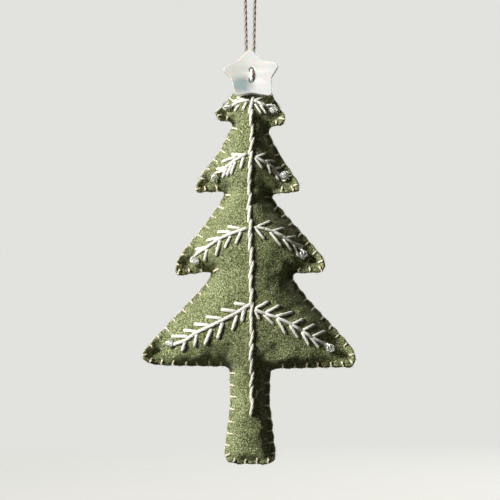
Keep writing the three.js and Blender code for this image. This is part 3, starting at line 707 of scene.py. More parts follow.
y = np.where(is_front & (y < star_back), y + (star_back - y) * press_share, y)
sewn = np.column_stack([x, y, z])
put(blank.data, sewn * MM + FOOT)
print("front reaches", (-y.min()).round(2), "mm, back", y.max().round(2), "mm")

# %% [markdown]
# ## Front and back panel
# The form is parted along the seam into its two felt panels. Each has its rim curled and gets one
# subdivision, a fine uneven nap from a displacement, and its felt thickness towards the inside, so that
# the cut edge of both layers shows from the side with a narrow gap between them.

# %% Part the panels
FELT = 1.1
SEAM_GAP = 0.3
NAP_DEPTH = 0.13
NAP_GRAIN = 0.7


def take_up(piece):
    """Make a piece the only one selected, for the operators."""
    deselect()
    piece.select_set(True)
    bpy.context.view_layer.objects.active = piece


def copy_of(source, name):
    made = new_object(name, source.data.copy())
    made.data.name = name
    made.vertex_groups.clear()
    take_up(made)
    return made


def clouds(name, grain):
    texture = bpy.data.textures.new(name, "CLOUDS")
    texture.noise_scale = grain * MM
    return texture


def roughen(piece, texture, depth, middle):
    rough = piece.modifiers.new(texture.name, "DISPLACE")
    rough.texture = texture
    rough.texture_coords = "LOCAL"
    rough.strength = depth * MM
    rough.mid_level = middle


def apply_all(piece):
    for modifier in list(piece.modifiers):
        bpy.ops.object.modifier_apply(modifier=modifier.name)
    bpy.ops.object.shade_smooth()


nap = clouds("nap", NAP_GRAIN)


def felt_panel(name, side):
    """One panel: side -1 is the front, and 1 the back."""
    made = copy_of(blank, name)
    edit_all()
    bpy.ops.mesh.bisect(
        plane_co=(0, 0, 0), plane_no=(0, 1, 0), clear_outer=side < 0, clear_inner=side > 0,
        threshold=1e-7,
    )
    edit_all()
    bpy.ops.transform.translate(value=(0, side * SEAM_GAP / 2 * MM, 0))
    close_mesh()
    turn_rim(made.data)
    smoother = made.modifiers.new("smoother", "SUBSURF")
    smoother.levels = smoother.render_levels = 1
    roughen(made, nap, NAP_DEPTH, 0.5)
    wall = made.modifiers.new("felt", "SOLIDIFY")
    wall.thickness = FELT * MM
    wall.offset = -1
    apply_all(made)
    print(name, len(made.data.polygons), "faces")
    return made


front_panel = felt_panel("front_panel", -1)
back_panel = felt_panel("back_panel", 1)

# %% [markdown]
# ## The filling
# Inside is a loose wad of fibre that stops below the knot of the cord. It only shows as a pale line
# where the seam gapes, so it is the stuffed form again, taken in by the thickness of the felt, cut off
# at the knot and roughened.

# %% Wad of fibre
FILLING_INSET = 2.1
FILLING_TOP = 86.4
WAD_GRAIN = 3.2
WAD_DEPTH = 0.5
WAD_LEAST = 0.08

wad = copy_of(blank, "filling_wad")
taken_in = np.clip(FILLING_INSET - distance, 0, None)
packed = sewn.copy()
packed[:, [0, 2]] += inward[nearest] * taken_in[:, None]
half_depth = np.maximum(np.abs(sewn[:, 1]) - FELT - WAD_DEPTH, WAD_LEAST)
packed[:, 1] = np.sign(sewn[:, 1]) * half_depth
put(wad.data, packed * MM + FOOT)
turn_rim(wad.data)
edit_all()
bpy.ops.mesh.bisect(
    plane_co=tuple(place(0, FILLING_TOP)), plane_no=(0, 0, 1), clear_outer=True, use_fill=True
)
close_mesh()
roughen(wad, clouds("tufts", WAD_GRAIN), -WAD_DEPTH, 0)
apply_all(wad)
bpy.data.objects.remove(blank)
print("filling", len(wad.data.polygons), "faces")

# %% [markdown]
# ## Where the thread goes
# Every stitch lies on the finished felt. A ray from the front finds the felt under a place, and a lift
# along the felt's own slope lays the thread on it. A stitch dives at both ends, where the needle went
# through, and swells to its full width between them.

# %% Rays to the felt
FLOSS_STATIONS = np.array([0, 0.04, 0.12, 0.3, 0.5, 0.7, 0.88, 0.96, 1])
FLOSS_LIFTS = np.array([-0.9, -0.05, 0.52, 0.66, 0.7, 0.66, 0.52, -0.05, -0.9])
FLOSS_STRANDS = 6
FLOSS_PITCH = 7.5
FLOSS_SPACING = 0.22
FLOSS_OFFSET = 0.66
FLOSS_RADIUS = 0.36
FLOSS_ENDS, FLOSS_SWELL = 0.45, 0.55
FLOSS_FULL = 2.2
RAY_START = 40
SLOPE_SPAN = (-0.8, 0, 0.8)

panel_trees = {}
for side, panel in ((-1, front_panel), (1, back_panel)):
    points = [v.co for v in panel.data.vertices]
    panel_trees[side] = BVHTree.FromPolygons(points, [p.vertices for p in panel.data.polygons])


def felt_under(px, height, side=-1):
    """Where a ray from outside meets the felt, and the felt's slope there. Side -1 is the front."""
    start = Vector(place(px, height, side * RAY_START))
    return panel_trees[side].ray_cast(start, Vector((0, -side, 0)))[:2]


def on_felt(px, height, lift=0.0, side=-1):
    """The place on the felt, in metres, raised along the felt's slope by millimetres."""
    hit, slope = felt_under(px, height, side)
    if hit is None:
        return place(px, height, side * (RIM + lift))
    return np.array(hit + slope * lift * MM)


def felt_slope(px, height):
    """The felt's outward direction, averaged over a few millimetres."""
    total = Vector((0, -0.001, 0))
    for dx in SLOPE_SPAN:
        for dz in SLOPE_SPAN:
            _, slope = felt_under(px + dx, height + dz)
            total += slope if slope else Vector((0, -1, 0))
    return total.normalized()


def floss(threads, line, width, draw):
    """One soft stitch of stranded floss along a line of places (across, up)."""
    line = np.asarray(line, float)
    at = run_lengths(np.column_stack([line, np.zeros(len(line))]))
    half = width / 2
    points = []
    for share, lift in zip(FLOSS_STATIONS, FLOSS_LIFTS):
        px, pz = (np.interp(share * at[-1], at, line[:, k]) for k in (0, 1))
        points.append(on_felt(px, pz, lift * half))
    path = smooth_run(points, FLOSS_SPACING)
    t = np.linspace(0, 1, len(path))
    squeeze = FLOSS_ENDS + FLOSS_SWELL * np.clip(np.sin(np.pi * t) * FLOSS_FULL, 0, 1)
    yarn = (FLOSS_STRANDS, FLOSS_OFFSET * half, FLOSS_RADIUS * half, FLOSS_PITCH)
    threads.spun(path, yarn, draw, squeeze=squeeze)


# %% [markdown]
# ## Stem stitch
# Stem stitch runs down the middle as a rope: each stitch starts beside the end of the one before it and
# slants a little, so the line looks twisted. It wanders as a hand-sewn line does.

# %% Stem
STEM_WIDTH = 0.76
STEM_SLANT = 0.32
LENGTH_UNEVEN = (0.96, 1.06)
SLANT_UNEVEN = (0.5, 1.3)
WIDTH_UNEVEN = (0.94, 1.06)

stem_draw = random.Random(21)
stem_threads = Threads()
for top in stem_tops:
    foot = top - STEM_STITCH * stem_draw.uniform(*LENGTH_UNEVEN)
    middle = (top + foot) / 2
    slant = STEM_SLANT * stem_draw.uniform(*SLANT_UNEVEN)
    line = [(stem_x(top) + slant, top), (stem_x(middle), middle), (stem_x(foot) - slant, foot)]
    floss(stem_threads, line, STEM_WIDTH * stem_draw.uniform(*WIDTH_UNEVEN), stem_draw)
stem_line = stem_threads.make("stem_stitching")

# %% [markdown]
# ## Sprigs
# Each sprig is a row of back stitches along its stem with straight stitches branching off above and
# below. The thread of the sprig also holds its bead: it leaves the last stitch, goes over the bead's
# rim and down through its hole.

# %% Sprigs and their stitches
SPRIG_WIDTH = {"left": 0.86, "right": 0.78}
SIDE_WIDTH = {"left": 0.8, "right": 0.7}
SIDE_TUCK = 0.4
SIDE_UNEVEN = (0.92, 1.1)
STEM_OVERLAP = (0.1, 0.12)
TIER_WIDTH = {"1": 0.8, "2": 0.84, "3": 0.88, "4": 1.0}
BEAD_DIAMETER = 2.2
BEAD_HOLE = 0.95
BEAD_LENGTH = 1.45
BEAD_REST = 0.72
BEAD_LEAN = {
    "left_1": (-50, 20), "right_1": (50, -15), "left_2": (-30, 40), "right_2": (45, 30),
    "left_3": (-55, 25), "right_3": (-12, -18), "left_4": (-60, -20), "right_4": (-26, 4),
}
TIE_ROOT = -0.3
TIE_CLEAR = 0.12
TIE_SIDE_SHARE = 0.3
TIE_MOUTH = 0.45
TIE_THROAT = 0.3
TIE_YARN = (2, 0.12, 0.14, 1.6)
TIE_SPACING = 0.16


def bead_frame(name):
    """Middle of a bead and the direction of its hole, which leans on the felt."""
    px, height = SPRIGS[name]["bead"]
    turn_side, turn_up = (math.radians(a) for a in BEAD_LEAN[name])
    hole = Matrix.Rotation(turn_side, 3, "Z") @ Matrix.Rotation(turn_up, 3, "X") @ felt_slope(px, height)
    lifted = on_felt(px, height, BEAD_REST) - place(px, height)
    return Vector(on_felt(px - lifted[0] / MM, height - lifted[2] / MM, BEAD_REST)), hole.normalized()


def bead_tie(threads, name, draw):
    middle, hole = bead_frame(name)
    tip = SPRIGS[name]["stem"][-1]
    away = (Vector(on_felt(*tip)) - middle).normalized()
    rim = (away - hole * away.dot(hole)).normalized()
    over = middle + hole * (BEAD_LENGTH / 2 + TIE_CLEAR) * MM
    outside = middle + rim * (BEAD_DIAMETER / 2 + TIE_CLEAR) * MM
    outside = outside + hole * BEAD_LENGTH * TIE_SIDE_SHARE * MM
    points = [on_felt(*tip, TIE_ROOT), outside, over + rim * TIE_MOUTH * MM]
    points += [middle + hole * TIE_THROAT * MM, middle - hole * MM]
    path = smooth_run([np.array(p) for p in points], TIE_SPACING)
    threads.spun(path, TIE_YARN, draw)


sprig_pieces = {}
for number, (name, sprig) in enumerate(SPRIGS.items()):
    draw = random.Random(40 + number)
    threads = Threads()
    hand, tier = name.split("_")
    stem = np.array(sprig["stem"])
    for k in range(len(stem) - 1):
        step = stem[k + 1] - stem[k]
        line = [stem[k] - step * STEM_OVERLAP[0], stem[k + 1] + step * STEM_OVERLAP[1]]
        floss(threads, line, SPRIG_WIDTH[hand] * TIER_WIDTH[tier], draw)
    for ax, az, bx, bz in sprig["sides"]:
        tuck = SIDE_TUCK / math.hypot(bx - ax, bz - az)
        start = (ax - (bx - ax) * tuck, az - (bz - az) * tuck)
        width = SIDE_WIDTH[hand] * TIER_WIDTH[tier] * draw.uniform(*SIDE_UNEVEN)
        floss(threads, [start, (bx, bz)], width, draw)
    bead_tie(threads, name, draw)
    sprig_pieces[name] = threads.make("sprig_" + name + "_stitching")

# %% [markdown]
# ## Blanket stitch
# One straw-coloured thread joins the panels all the way round. At each stitch a leg lies across the rim
# on the front and on the back, where rays find the felt, and between two stitches the thread runs along
# the cut edge. Sewn by hand, the legs differ a little in length and slant. Legs and runs are laid as
# two-ply thread.

# %% Edge sewing
EDGE_YARN = (2, 0.13, 0.16, 1.5)
EDGE_SPACING = 0.2
EDGE_IN = 0.2
EDGE_WANDER = 0.25
EDGE_FRONT = RIM + SEAM_GAP / 2
KNOT_STEP = 0.05
KNOT_SHARE = 0.8
LEG_LENGTH = 1.25
LEG_UNEVEN = (0.82, 1.18)
LEG_SKEW = 0.3
LEG_START = 0.3
LEG_LIFTS = [(0, 0.2), (0.35, 0.24), (0.7, 0.2), (0.92, 0.05), (1, -0.4)]
CORD_OPENING = 1.7
RUN_OPENING = 2.7
CREST_BAND = 1
RUN_UNEVEN = (0.6, 1.2)

edge_draw = random.Random(5)
edge_threads = Threads()


def edge_frame(at):
    """A place on the outline and its inward direction, at a length along the seam."""
    k = int(round(at / seam_step)) % len(outline)
    span = [(k + step) % len(outline) for step in (-2, -1, 0, 1, 2)]
    inside_way = inward[span].mean(axis=0)
    return outline[k], inside_way / np.linalg.norm(inside_way), forward[k]


def edge_point(spot, inside_way, deep, y):
    at_place = spot + inside_way * deep
    return place(*at_place, y - curl(at_place[None], max(deep, 0), inside_way[1])[0])


def lay(points):
    edge_threads.spun(smooth_run(points, EDGE_SPACING), EDGE_YARN, edge_draw)


crest = outline[:, 1].max()
knots = []
for number, at in enumerate(edge_places):
    spot, inside_way, ahead = edge_frame(at)
    pull = PINCH_IN * pulls[number]
    skew = ahead * edge_draw.uniform(-LEG_SKEW, LEG_SKEW)
    length = LEG_LENGTH * edge_draw.uniform(*LEG_UNEVEN)
    knots.append((at, spot, inside_way, pull))
    if abs(spot[0]) < CORD_OPENING and spot[1] > crest - CREST_BAND:
        continue
    thin = EDGE_FRONT * (1 - PINCH_THIN * pulls[number])
    for side in (-1, 1):
        leg = [
            edge_point(spot, inside_way, pull + EDGE_IN, 0),
            edge_point(spot, inside_way, pull + EDGE_IN + KNOT_STEP, side * thin * KNOT_SHARE),
        ]
        for share, lift in LEG_LIFTS:
            deep = pull + LEG_START + (length - LEG_START) * share
            leg.append(on_felt(*(spot + skew * share + inside_way * deep), lift, side))
        lay(leg)
for (at, spot, way, pull), (_, far_spot, far_way, far_pull) in zip(knots, knots[1:] + knots[:1]):
    is_at_crest = abs(spot[0]) < RUN_OPENING and spot[1] > crest - CREST_BAND
    if is_at_crest and spot[0] * far_spot[0] <= 0:
        continue
    between, between_way, _ = edge_frame(at + seam_length / edge_count / 2)
    wander = edge_draw.uniform(-EDGE_WANDER, EDGE_WANDER)
    lay([
        edge_point(spot, way, pull + EDGE_IN, 0),
        edge_point(between, between_way, EDGE_IN * edge_draw.uniform(*RUN_UNEVEN), wander),
        edge_point(far_spot, far_way, far_pull + EDGE_IN, 0),
    ])
edge_sewing = edge_threads.make("edge_sewing")

# %% [markdown]
# ## Glass beads
# Each sprig ends in a small glass seed bead: a short fat ring with rounded ends. One is turned from a
# circle spun round an axis, merged and smoothed, and the others are copies, each with its own mesh and
# laid at its own lean on the felt.

# %% Seed beads
BEAD_STEPS = 24
BEAD_SIDES = 14
WELD = 0.001


def weld():
    """Join points that meet, turn all faces outwards, and close the mesh."""
    edit_all()
    bpy.ops.mesh.remove_doubles(threshold=WELD * MM)
    bpy.ops.mesh.normals_make_consistent(inside=False)
    close_mesh()


deselect()
tube = (BEAD_DIAMETER - BEAD_HOLE) / 4
bpy.ops.mesh.primitive_circle_add(vertices=BEAD_SIDES, radius=tube * MM, location=(0, 0, 0))
bead = bpy.context.object
bead.name = "seed_bead"
edit_all()
bpy.ops.transform.resize(value=(1, BEAD_LENGTH / 2 / tube, 1))
bpy.ops.transform.translate(value=((BEAD_DIAMETER / 2 - tube) * MM, 0, 0))
bpy.ops.mesh.spin(steps=BEAD_STEPS, angle=2 * math.pi, center=(0, 0, 0), axis=(0, 1, 0))
weld()
bpy.ops.object.shade_smooth()
bead_pieces = {}
for name in SPRIGS:
    middle, hole = bead_frame(name)
    made = copy_of(bead, "glass_bead_" + name)
    turn = Vector((0, 1, 0)).rotation_difference(hole).to_matrix().to_4x4()
    made.data.transform(Matrix.Translation(middle) @ turn)
    bead_pieces[name] = made
bpy.data.objects.remove(bead)
print(len(bead_pieces), "beads of", len(made.data.polygons), "faces")

# %% [markdown]
# ## Shell star
# The star is a hand-cut button of mother-of-pearl with fat, blunt points and two holes. Its outline is
# drawn as a flat curve with two holes, given thickness and a rounded edge, and made a mesh before it is
# leant back over the felt where the solid star is. It stands a little off the felt, so that it can turn
# over the stitches beside it.

# %% Star button
STAR_CORNERS = [
    (-0.05, 6.05, 1.1), (3.1, 3.05, 1.6), (7.45, 2.35, 1.2), (5.15, -1.35, 2.0), (5.4, -6.0, 1.0),
    (0.5, -5.15, 3.0), (-3.55, -6.05, 1.5), (-4.6, -1.3, 2.0), (-6.95, 0.95, 1.0), (-3.1, 2.8, 2.0),
]
STAR_HOLES = [(0.42, 0.55), (0.4, -1.95)]
STAR_HOLE = 1.35
STAR_THICKNESS = 1.5
STAR_EDGE = 0.2
STAR_STEPS = 8
STAR_SPACING = 0.22
STAR_ROUNDING = 4
HOLE_STEPS = 24
STAR_BACK = (0, -3.214, -25.141)
STAR_STAND = 0.4
SHARP = 40


def closed_line(drawing, points):
    line = drawing.splines.new("POLY")
    line.points.add(len(points) - 1)
    for point, (px, pz) in zip(line.points, points):
        point.co = (px * MM, pz * MM, 0, 1)
    line.use_cyclic_u = True


def shrunk(points, by):
    """The closed line moved inwards, to leave room for a rounded edge."""
    run = np.roll(points, -1, axis=0) - np.roll(points, 1, axis=0)
    run /= np.linalg.norm(run, axis=1)[:, None]
    return points + np.column_stack([run[:, 1], -run[:, 0]]) * by


drawing = bpy.data.curves.new("star_drawing", "CURVE")
drawing.dimensions = "2D"
drawing.fill_mode = "BOTH"
star_line, _ = even_ring(rounded(STAR_CORNERS, STAR_STEPS), STAR_SPACING)
closed_line(drawing, shrunk(star_line, STAR_EDGE))
turn = np.linspace(0, 2 * np.pi, HOLE_STEPS, endpoint=False)
for hx, hz in STAR_HOLES:
    radius = STAR_HOLE / 2 + STAR_EDGE
    closed_line(drawing, np.column_stack([hx + radius * np.cos(turn), hz + radius * np.sin(turn)]))
drawing.extrude = (STAR_THICKNESS / 2 - STAR_EDGE) * MM
drawing.bevel_depth = STAR_EDGE * MM
drawing.bevel_resolution = STAR_ROUNDING
take_up(new_object("shell_star", drawing))
bpy.ops.object.convert(target="MESH")
star = bpy.context.object
weld()
lean = Matrix.Rotation(math.radians(90 - star_lean), 4, "X")
star_frame = Matrix.Translation(Vector(STAR_BACK) * MM) @ lean
star_frame = star_frame @ Matrix.Translation((0, 0, STAR_STAND * MM))
star.data.transform(star_frame @ Matrix.Translation((0, 0, STAR_THICKNESS / 2 * MM)))
bpy.ops.object.shade_smooth_by_angle(angle=math.radians(SHARP))
print("star", len(star.data.polygons), "faces, corners", [round(c / MM, 2) for c in star.bound_box[0]])

# %% [markdown]
# ## Thread through the button
# The star is sewn on through its two holes with the same floss: it comes up through one hole, crosses
# the face and goes down the other.

# %% Button thread
BUTTON_FLOSS = 0.8
BUTTON_YARN = (FLOSS_STRANDS, 0.24, 0.172, 6)
BUTTON_SPACING = 0.16
BUTTON_RAISED = 0.22
BUTTON_BEND = (0.12, 0.7)
BUTTON_DEEP = 0.5
BUTTON_WITHIN = 0.4


def star_place(across_face, up_face, out):
    return np.array(star_frame @ Vector((across_face * MM, up_face * MM, out * MM)))


button_draw = random.Random(8)
(upper_x, upper), (lower_x, lower) = STAR_HOLES
over = STAR_THICKNESS + BUTTON_FLOSS * BUTTON_RAISED
hidden, within = -BUTTON_DEEP - STAR_STAND, STAR_THICKNESS * BUTTON_WITHIN
bent, level = BUTTON_BEND
stops = [
    (upper_x, upper, hidden), (upper_x, upper, within), (upper_x, upper - bent, STAR_THICKNESS),
    (upper_x, upper - level, over), (lower_x, lower + level, over),
    (lower_x, lower + bent, STAR_THICKNESS), (lower_x, lower, within), (lower_x, lower, hidden),
]
button_threads = Threads()
button_path = smooth_run([star_place(*stop) for stop in stops], BUTTON_SPACING)
button_threads.spun(button_path, BUTTON_YARN, button_draw)
button_sewing = button_threads.make("button_sewing")

# %% [markdown]
# ## Loose fibres of the felt
# Felt is matted wool, and a few of its fibres always lie loose on it. They soften the outline and catch
# the light. Each is a thin three-sided hair of a few faces that leaves the felt, bends once and lies
# nearly flat. They are drawn at random places on the outside of each panel from a fixed seed.

# %% Wool fibres
FIBRES = 8000
FIBRE_RADIUS = 0.024
FIBRE_LENGTH = (0.35, 1.2)
FIBRE_RISE = (0.02, 0.13)
FIBRE_BEND = 0.5
FIBRE_ROOT = 0.1
FIBRE_TIP = 0.3
FIBRE_BREAK = 0.45
FACING_OUT = 0.02


def wool_fibres(panel, name, side, seed):
    mesh = panel.data
    mesh.calc_loop_triangles()
    corners = numbers(mesh)
    triangles = np.empty(len(mesh.loop_triangles) * 3, np.int32)
    mesh.loop_triangles.foreach_get("vertices", triangles)
    a, b, c = (corners[triangles.reshape(-1, 3)[:, k]] for k in (0, 1, 2))
    square = np.cross(b - a, c - a)
    areas = np.linalg.norm(square, axis=1)
    outside = square[:, 1] * side > FACING_OUT * areas
    draw = np.random.default_rng(seed)
    chosen = draw.choice(len(areas), FIBRES, p=np.where(outside, areas, 0) / areas[outside].sum())
    u, v = draw.random(FIBRES), draw.random(FIBRES)
    u, v = np.where(u + v > 1, 1 - u, u), np.where(u + v > 1, 1 - v, v)
    root = a[chosen] + (b - a)[chosen] * u[:, None] + (c - a)[chosen] * v[:, None]
    normal = square[chosen] / areas[chosen][:, None]
    flat_way = np.cross(normal, draw.normal(size=(FIBRES, 3)))
    flat_way /= np.linalg.norm(flat_way, axis=1)[:, None]
    bend = np.cross(normal, flat_way) * draw.uniform(-FIBRE_BEND, FIBRE_BEND, FIBRES)[:, None]
    length = (draw.uniform(*FIBRE_LENGTH, FIBRES) * MM)[:, None]
    rise = (draw.uniform(*FIBRE_RISE, FIBRES) * MM)[:, None]
    tones = draw.random(FIBRES)
    threads = Threads()
    shape = np.array([FIBRE_RADIUS, FIBRE_RADIUS, FIBRE_RADIUS * FIBRE_TIP]) * MM
    stops = [
        root - normal * FIBRE_ROOT * MM,
        root + (flat_way + bend * 0.3) * length * FIBRE_BREAK + normal * rise,
        root + (flat_way + bend) * length + normal * rise * 0.5,
    ]
    for k in range(FIBRES):
        threads.strand(np.array([stop[k] for stop in stops]), shape, 3, tones[k])
    return threads.make(name)


front_wool = wool_fibres(front_panel, "front_wool", -1, 17)
back_wool = wool_fibres(back_panel, "back_wool", 1, 18)

# %% [markdown]
# ## Finishes
# The finishes are made of nodes alone. Two effects are shared, so each is a node group: the heathered
# mix of wool, and the spun look of thread. A group only puts out values that change over the surface,
# and each material turns them into its own colours, roughness and bump.


# %% Small helpers for nodes
def linear(red, green, blue):
    """A colour as a screen shows it, from 0 to 255, as the shader reads it."""
    shares = [c / 255 for c in (red, green, blue)]
    return (*[c / 12.92 if c <= 0.04045 else ((c + 0.055) / 1.055) ** 2.4 for c in shares], 1.0)


def feed(tree, sockets, values):
    """Link what changes over the surface, and set what does not."""
    for name, value in values.items():
        if isinstance(value, bpy.types.NodeSocket):
            tree.links.new(value, sockets[name])
        else:
            sockets[name].default_value = value


def add(tree, kind, values=None, **settings):
    made = tree.nodes.new(kind)
    for name, value in settings.items():
        setattr(made, name, value)
    feed(tree, made.inputs, values or {})
    return made


def group(name, inputs, outputs):
    """An empty node group that takes a place and some numbers, and puts out numbers."""
    tree = bpy.data.node_groups.new(name, "ShaderNodeTree")
    tree.interface.new_socket("Vector", in_out="INPUT", socket_type="NodeSocketVector")
    for label, value in inputs.items():
        socket = tree.interface.new_socket(label, in_out="INPUT", socket_type="NodeSocketFloat")
        socket.default_value = value
    for label in outputs:
        tree.interface.new_socket(label, in_out="OUTPUT", socket_type="NodeSocketFloat")
    return tree, tree.nodes.new("NodeGroupInput").outputs, tree.nodes.new("NodeGroupOutput").inputs


def spread(tree, value, low, high):
    """The value stretched so that low becomes 0 and high becomes 1."""
    values = {"Value": value, "From Min": low, "From Max": high}
    return add(tree, "ShaderNodeMapRange", values).outputs[0]


def mixed(tree, share, first, second, blend="MIX"):
    """Two colours mixed. The node's colours go in at 6 and 7 and come out at 2."""
    values = {0: share, 6: first, 7: second}
    return add(tree, "ShaderNodeMix", values, data_type="RGBA", blend_type=blend).outputs[2]


def sums(tree, how, first, second):
    return add(tree, "ShaderNodeMath", {0: first, 1: second}, operation=how).outputs[0]


def moved(tree, how, vector, by):
    amount = "Scale" if how == "SCALE" else 1
    return add(tree, "ShaderNodeVectorMath", {0: vector, amount: by}, operation=how).outputs[0]


def noise(tree, vector, scale, detail=2.0, **more):
    values = {"Vector": vector, "Scale": scale, "Detail": detail, **more}
    return add(tree, "ShaderNodeTexNoise", values).outputs


def grained(tree, vector, angle, scale):
    """Places turned about the y axis and stretched, so that a noise on them runs one way."""
    values = {"Vector": vector, "Rotation": (0, math.radians(angle), 0), "Scale": scale}
    return add(tree, "ShaderNodeMapping", values, vector_type="POINT").outputs[0]


# %% Wool mix, shared by the felt, its loose fibres and the filling
WARP_SCALE = 700.0
WARP_REACH = 0.0006
FLECK_SCALE = 4600.0
FLECK_STRETCH = (1.0, 1.0, 0.62)
HAIR_ANGLES = (25, -40, 85)
HAIR_SCALE = (1150, 2000, 5600)
HAIR_RANGE = (0.56, 0.72)
HAIR_HEIGHT = 0.6
CLOUD_SCALE = 160.0

tree, given, put_out = group("wool_mix", {"Fleck Scale": 1.0}, ("Flecks", "Fibres", "Clouds", "Height"))
wool_tree = tree
spot = moved(tree, "SCALE", given[0], given[1])
shift = moved(tree, "SUBTRACT", noise(tree, spot, WARP_SCALE)["Color"], (0.5, 0.5, 0.5))
bent = moved(tree, "ADD", spot, moved(tree, "SCALE", shift, WARP_REACH))
upright = moved(tree, "MULTIPLY", bent, FLECK_STRETCH)
fleck = noise(tree, upright, FLECK_SCALE, Roughness=0.6)["Fac"]
hairs = []
for angle in HAIR_ANGLES:
    line = noise(tree, grained(tree, bent, angle, HAIR_SCALE), 1.0, 1.0)
    hairs.append(spread(tree, line["Fac"], *HAIR_RANGE))
fibres = sums(tree, "MAXIMUM", sums(tree, "MAXIMUM", hairs[0], hairs[1]), hairs[2])
cloud = noise(tree, spot, CLOUD_SCALE, 3.0)["Fac"]
rise = sums(tree, "ADD", fleck, sums(tree, "MULTIPLY", fibres, HAIR_HEIGHT))
feed(tree, put_out, {"Flecks": fleck, "Fibres": fibres, "Clouds": cloud, "Height": rise})

# %% Spun yarn, shared by every thread
GRAIN_SCALE = 2600.0
SLOW_SCALE = 260.0
WINDING = 26.0
WINDING_SHARE = 0.12
SHADE_SHARES = (0.5, 0.5, 0.3)
SHADE_RANGE = (0.35, 0.95)

tree, given, put_out = group("spun_yarn", {"Along": 0.0, "Tone": 0.5}, ("Shade", "Height"))
yarn_tree = tree
grain = noise(tree, given[0], GRAIN_SCALE)["Fac"]
slow = noise(tree, given[0], SLOW_SCALE)["Fac"]
wound = sums(tree, "SINE", sums(tree, "MULTIPLY", given[1], WINDING), 0.0)
uneven = sums(tree, "MULTIPLY", wound, WINDING_SHARE)
shade = uneven
for part, share in zip((grain, slow, given[2]), SHADE_SHARES):
    shade = sums(tree, "ADD", sums(tree, "MULTIPLY", part, share), shade)
height = sums(tree, "ADD", grain, uneven)
feed(tree, put_out, {"Shade": spread(tree, shade, *SHADE_RANGE), "Height": height})


# %% [markdown]
# ### Felt
# The felt is a heather: pale grey-green, olive and nearly black fibres carded together, so that close
# up it is speckled and from afar it is a greyed olive. Felt scatters light at its nap, so it is rough,
# with some sheen. The loose fibres have the same three colours, and the filling is a warm white.


# %% Felt and filling
def finish(name):
    """A new material, its nodes and the sockets of its shader."""
    material = bpy.data.materials.new(name)
    material.use_nodes = True
    tree = material.node_tree
    return material, tree, tree.nodes["Principled BSDF"].inputs


def object_place(tree):
    return add(tree, "ShaderNodeTexCoord").outputs["Object"]


def attribute(tree, name):
    return add(tree, "ShaderNodeAttribute", attribute_name=name).outputs["Fac"]


def bump(tree, height, strength, depth):
    values = {"Height": height, "Strength": strength, "Distance": depth}
    return add(tree, "ShaderNodeBump", values).outputs[0]


def wool_look(tree, fleck_scale=1.0):
    """What the wool mix puts out, and a roughness that follows its flecks."""
    values = {"Vector": object_place(tree), "Fleck Scale": fleck_scale}
    wool = add(tree, "ShaderNodeGroup", values, node_tree=wool_tree).outputs
    return wool, spread(tree, wool["Flecks"], *WOOL_ROUGH)


WOOL_ROUGH = (-1.5, 0.9)
DARK_FLECKS = (0.38, 0.5)
PALE_FLECKS = (0.52, 0.64)
PALE_FIBRES = 0.35
FELT_DARK = linear(36, 38, 17)
FELT_OLIVE = linear(108, 117, 65)
FELT_PALE = linear(212, 220, 176)
WHITE = (1, 1, 1, 1)

felt_finish, tree, sockets = finish("heather_felt")
wool, roughness = wool_look(tree)
colour = mixed(tree, spread(tree, wool["Flecks"], *DARK_FLECKS), FELT_DARK, FELT_OLIVE)
colour = mixed(tree, spread(tree, wool["Flecks"], *PALE_FLECKS), colour, FELT_PALE)
colour = mixed(tree, sums(tree, "MULTIPLY", wool["Fibres"], PALE_FIBRES), colour, FELT_PALE)
clouded = mixed(tree, spread(tree, wool["Clouds"], 0.3, 0.7), linear(226, 226, 214), WHITE)
feed(tree, sockets, {
    "Base Color": mixed(tree, 1.0, colour, clouded, "MULTIPLY"), "Roughness": roughness,
    "Sheen Weight": 0.18, "Sheen Roughness": 0.6, "Sheen Tint": linear(225, 228, 205),
    "Specular IOR Level": 0.05, "Normal": bump(tree, wool["Height"], 0.75, 0.00022),
})

wool_finish, tree, sockets = finish("loose_wool")
tone = attribute(tree, "tone")
wool, roughness = wool_look(tree, 0.5)
colour = mixed(tree, spread(tree, tone, 0.15, 0.5), FELT_DARK, FELT_OLIVE)
colour = mixed(tree, spread(tree, tone, 0.5, 0.95), colour, FELT_PALE)
colour = mixed(tree, sums(tree, "MULTIPLY", wool["Clouds"], 0.3), colour, FELT_OLIVE)
feed(tree, sockets, {
    "Base Color": colour, "Roughness": roughness, "Sheen Weight": 0.18, "Specular IOR Level": 0.2,
})

wad_finish, tree, sockets = finish("filling_fibre")
wool, roughness = wool_look(tree, 0.6)
feed(tree, sockets, {
    "Base Color": mixed(tree, wool["Fibres"], linear(222, 219, 208), linear(245, 243, 236)),
    "Roughness": roughness, "Sheen Weight": 0.2, "Normal": bump(tree, wool["Height"], 0.8, 0.0003),
})


# %% [markdown]
# ### Threads
# Floss, edge thread and twine differ in colour, not in how they are spun: one function makes all three
# from a dark and a light colour. The floss is an unbleached white with a soft shine, the edge thread
# runs from straw to cream, and the twine is a greyed taupe.


# %% Thread finishes
def thread_finish(name, dark, light, gloss, sheen):
    material, tree, sockets = finish(name)
    values = {
        "Vector": object_place(tree), "Along": attribute(tree, "along"), "Tone": attribute(tree, "tone"),
    }
    yarn = add(tree, "ShaderNodeGroup", values, node_tree=yarn_tree).outputs
    feed(tree, sockets, {
        "Base Color": mixed(tree, yarn["Shade"], dark, light),
        "Roughness": spread(tree, yarn["Shade"], -2 + gloss, 1.4 + gloss),
        "Sheen Weight": sheen, "Sheen Roughness": 0.4, "Specular IOR Level": 0.35,
        "Normal": bump(tree, yarn["Height"], 0.5, 0.00006),
    })
    return material


floss_finish = thread_finish("unbleached_floss", linear(228, 225, 213), linear(250, 249, 244), 0.0, 0.12)
edge_finish = thread_finish("straw_thread", linear(202, 186, 150), linear(247, 240, 224), 0.0, 0.1)
twine_finish = thread_finish("taupe_twine", linear(116, 107, 98), linear(196, 187, 177), 0.2, 0.1)
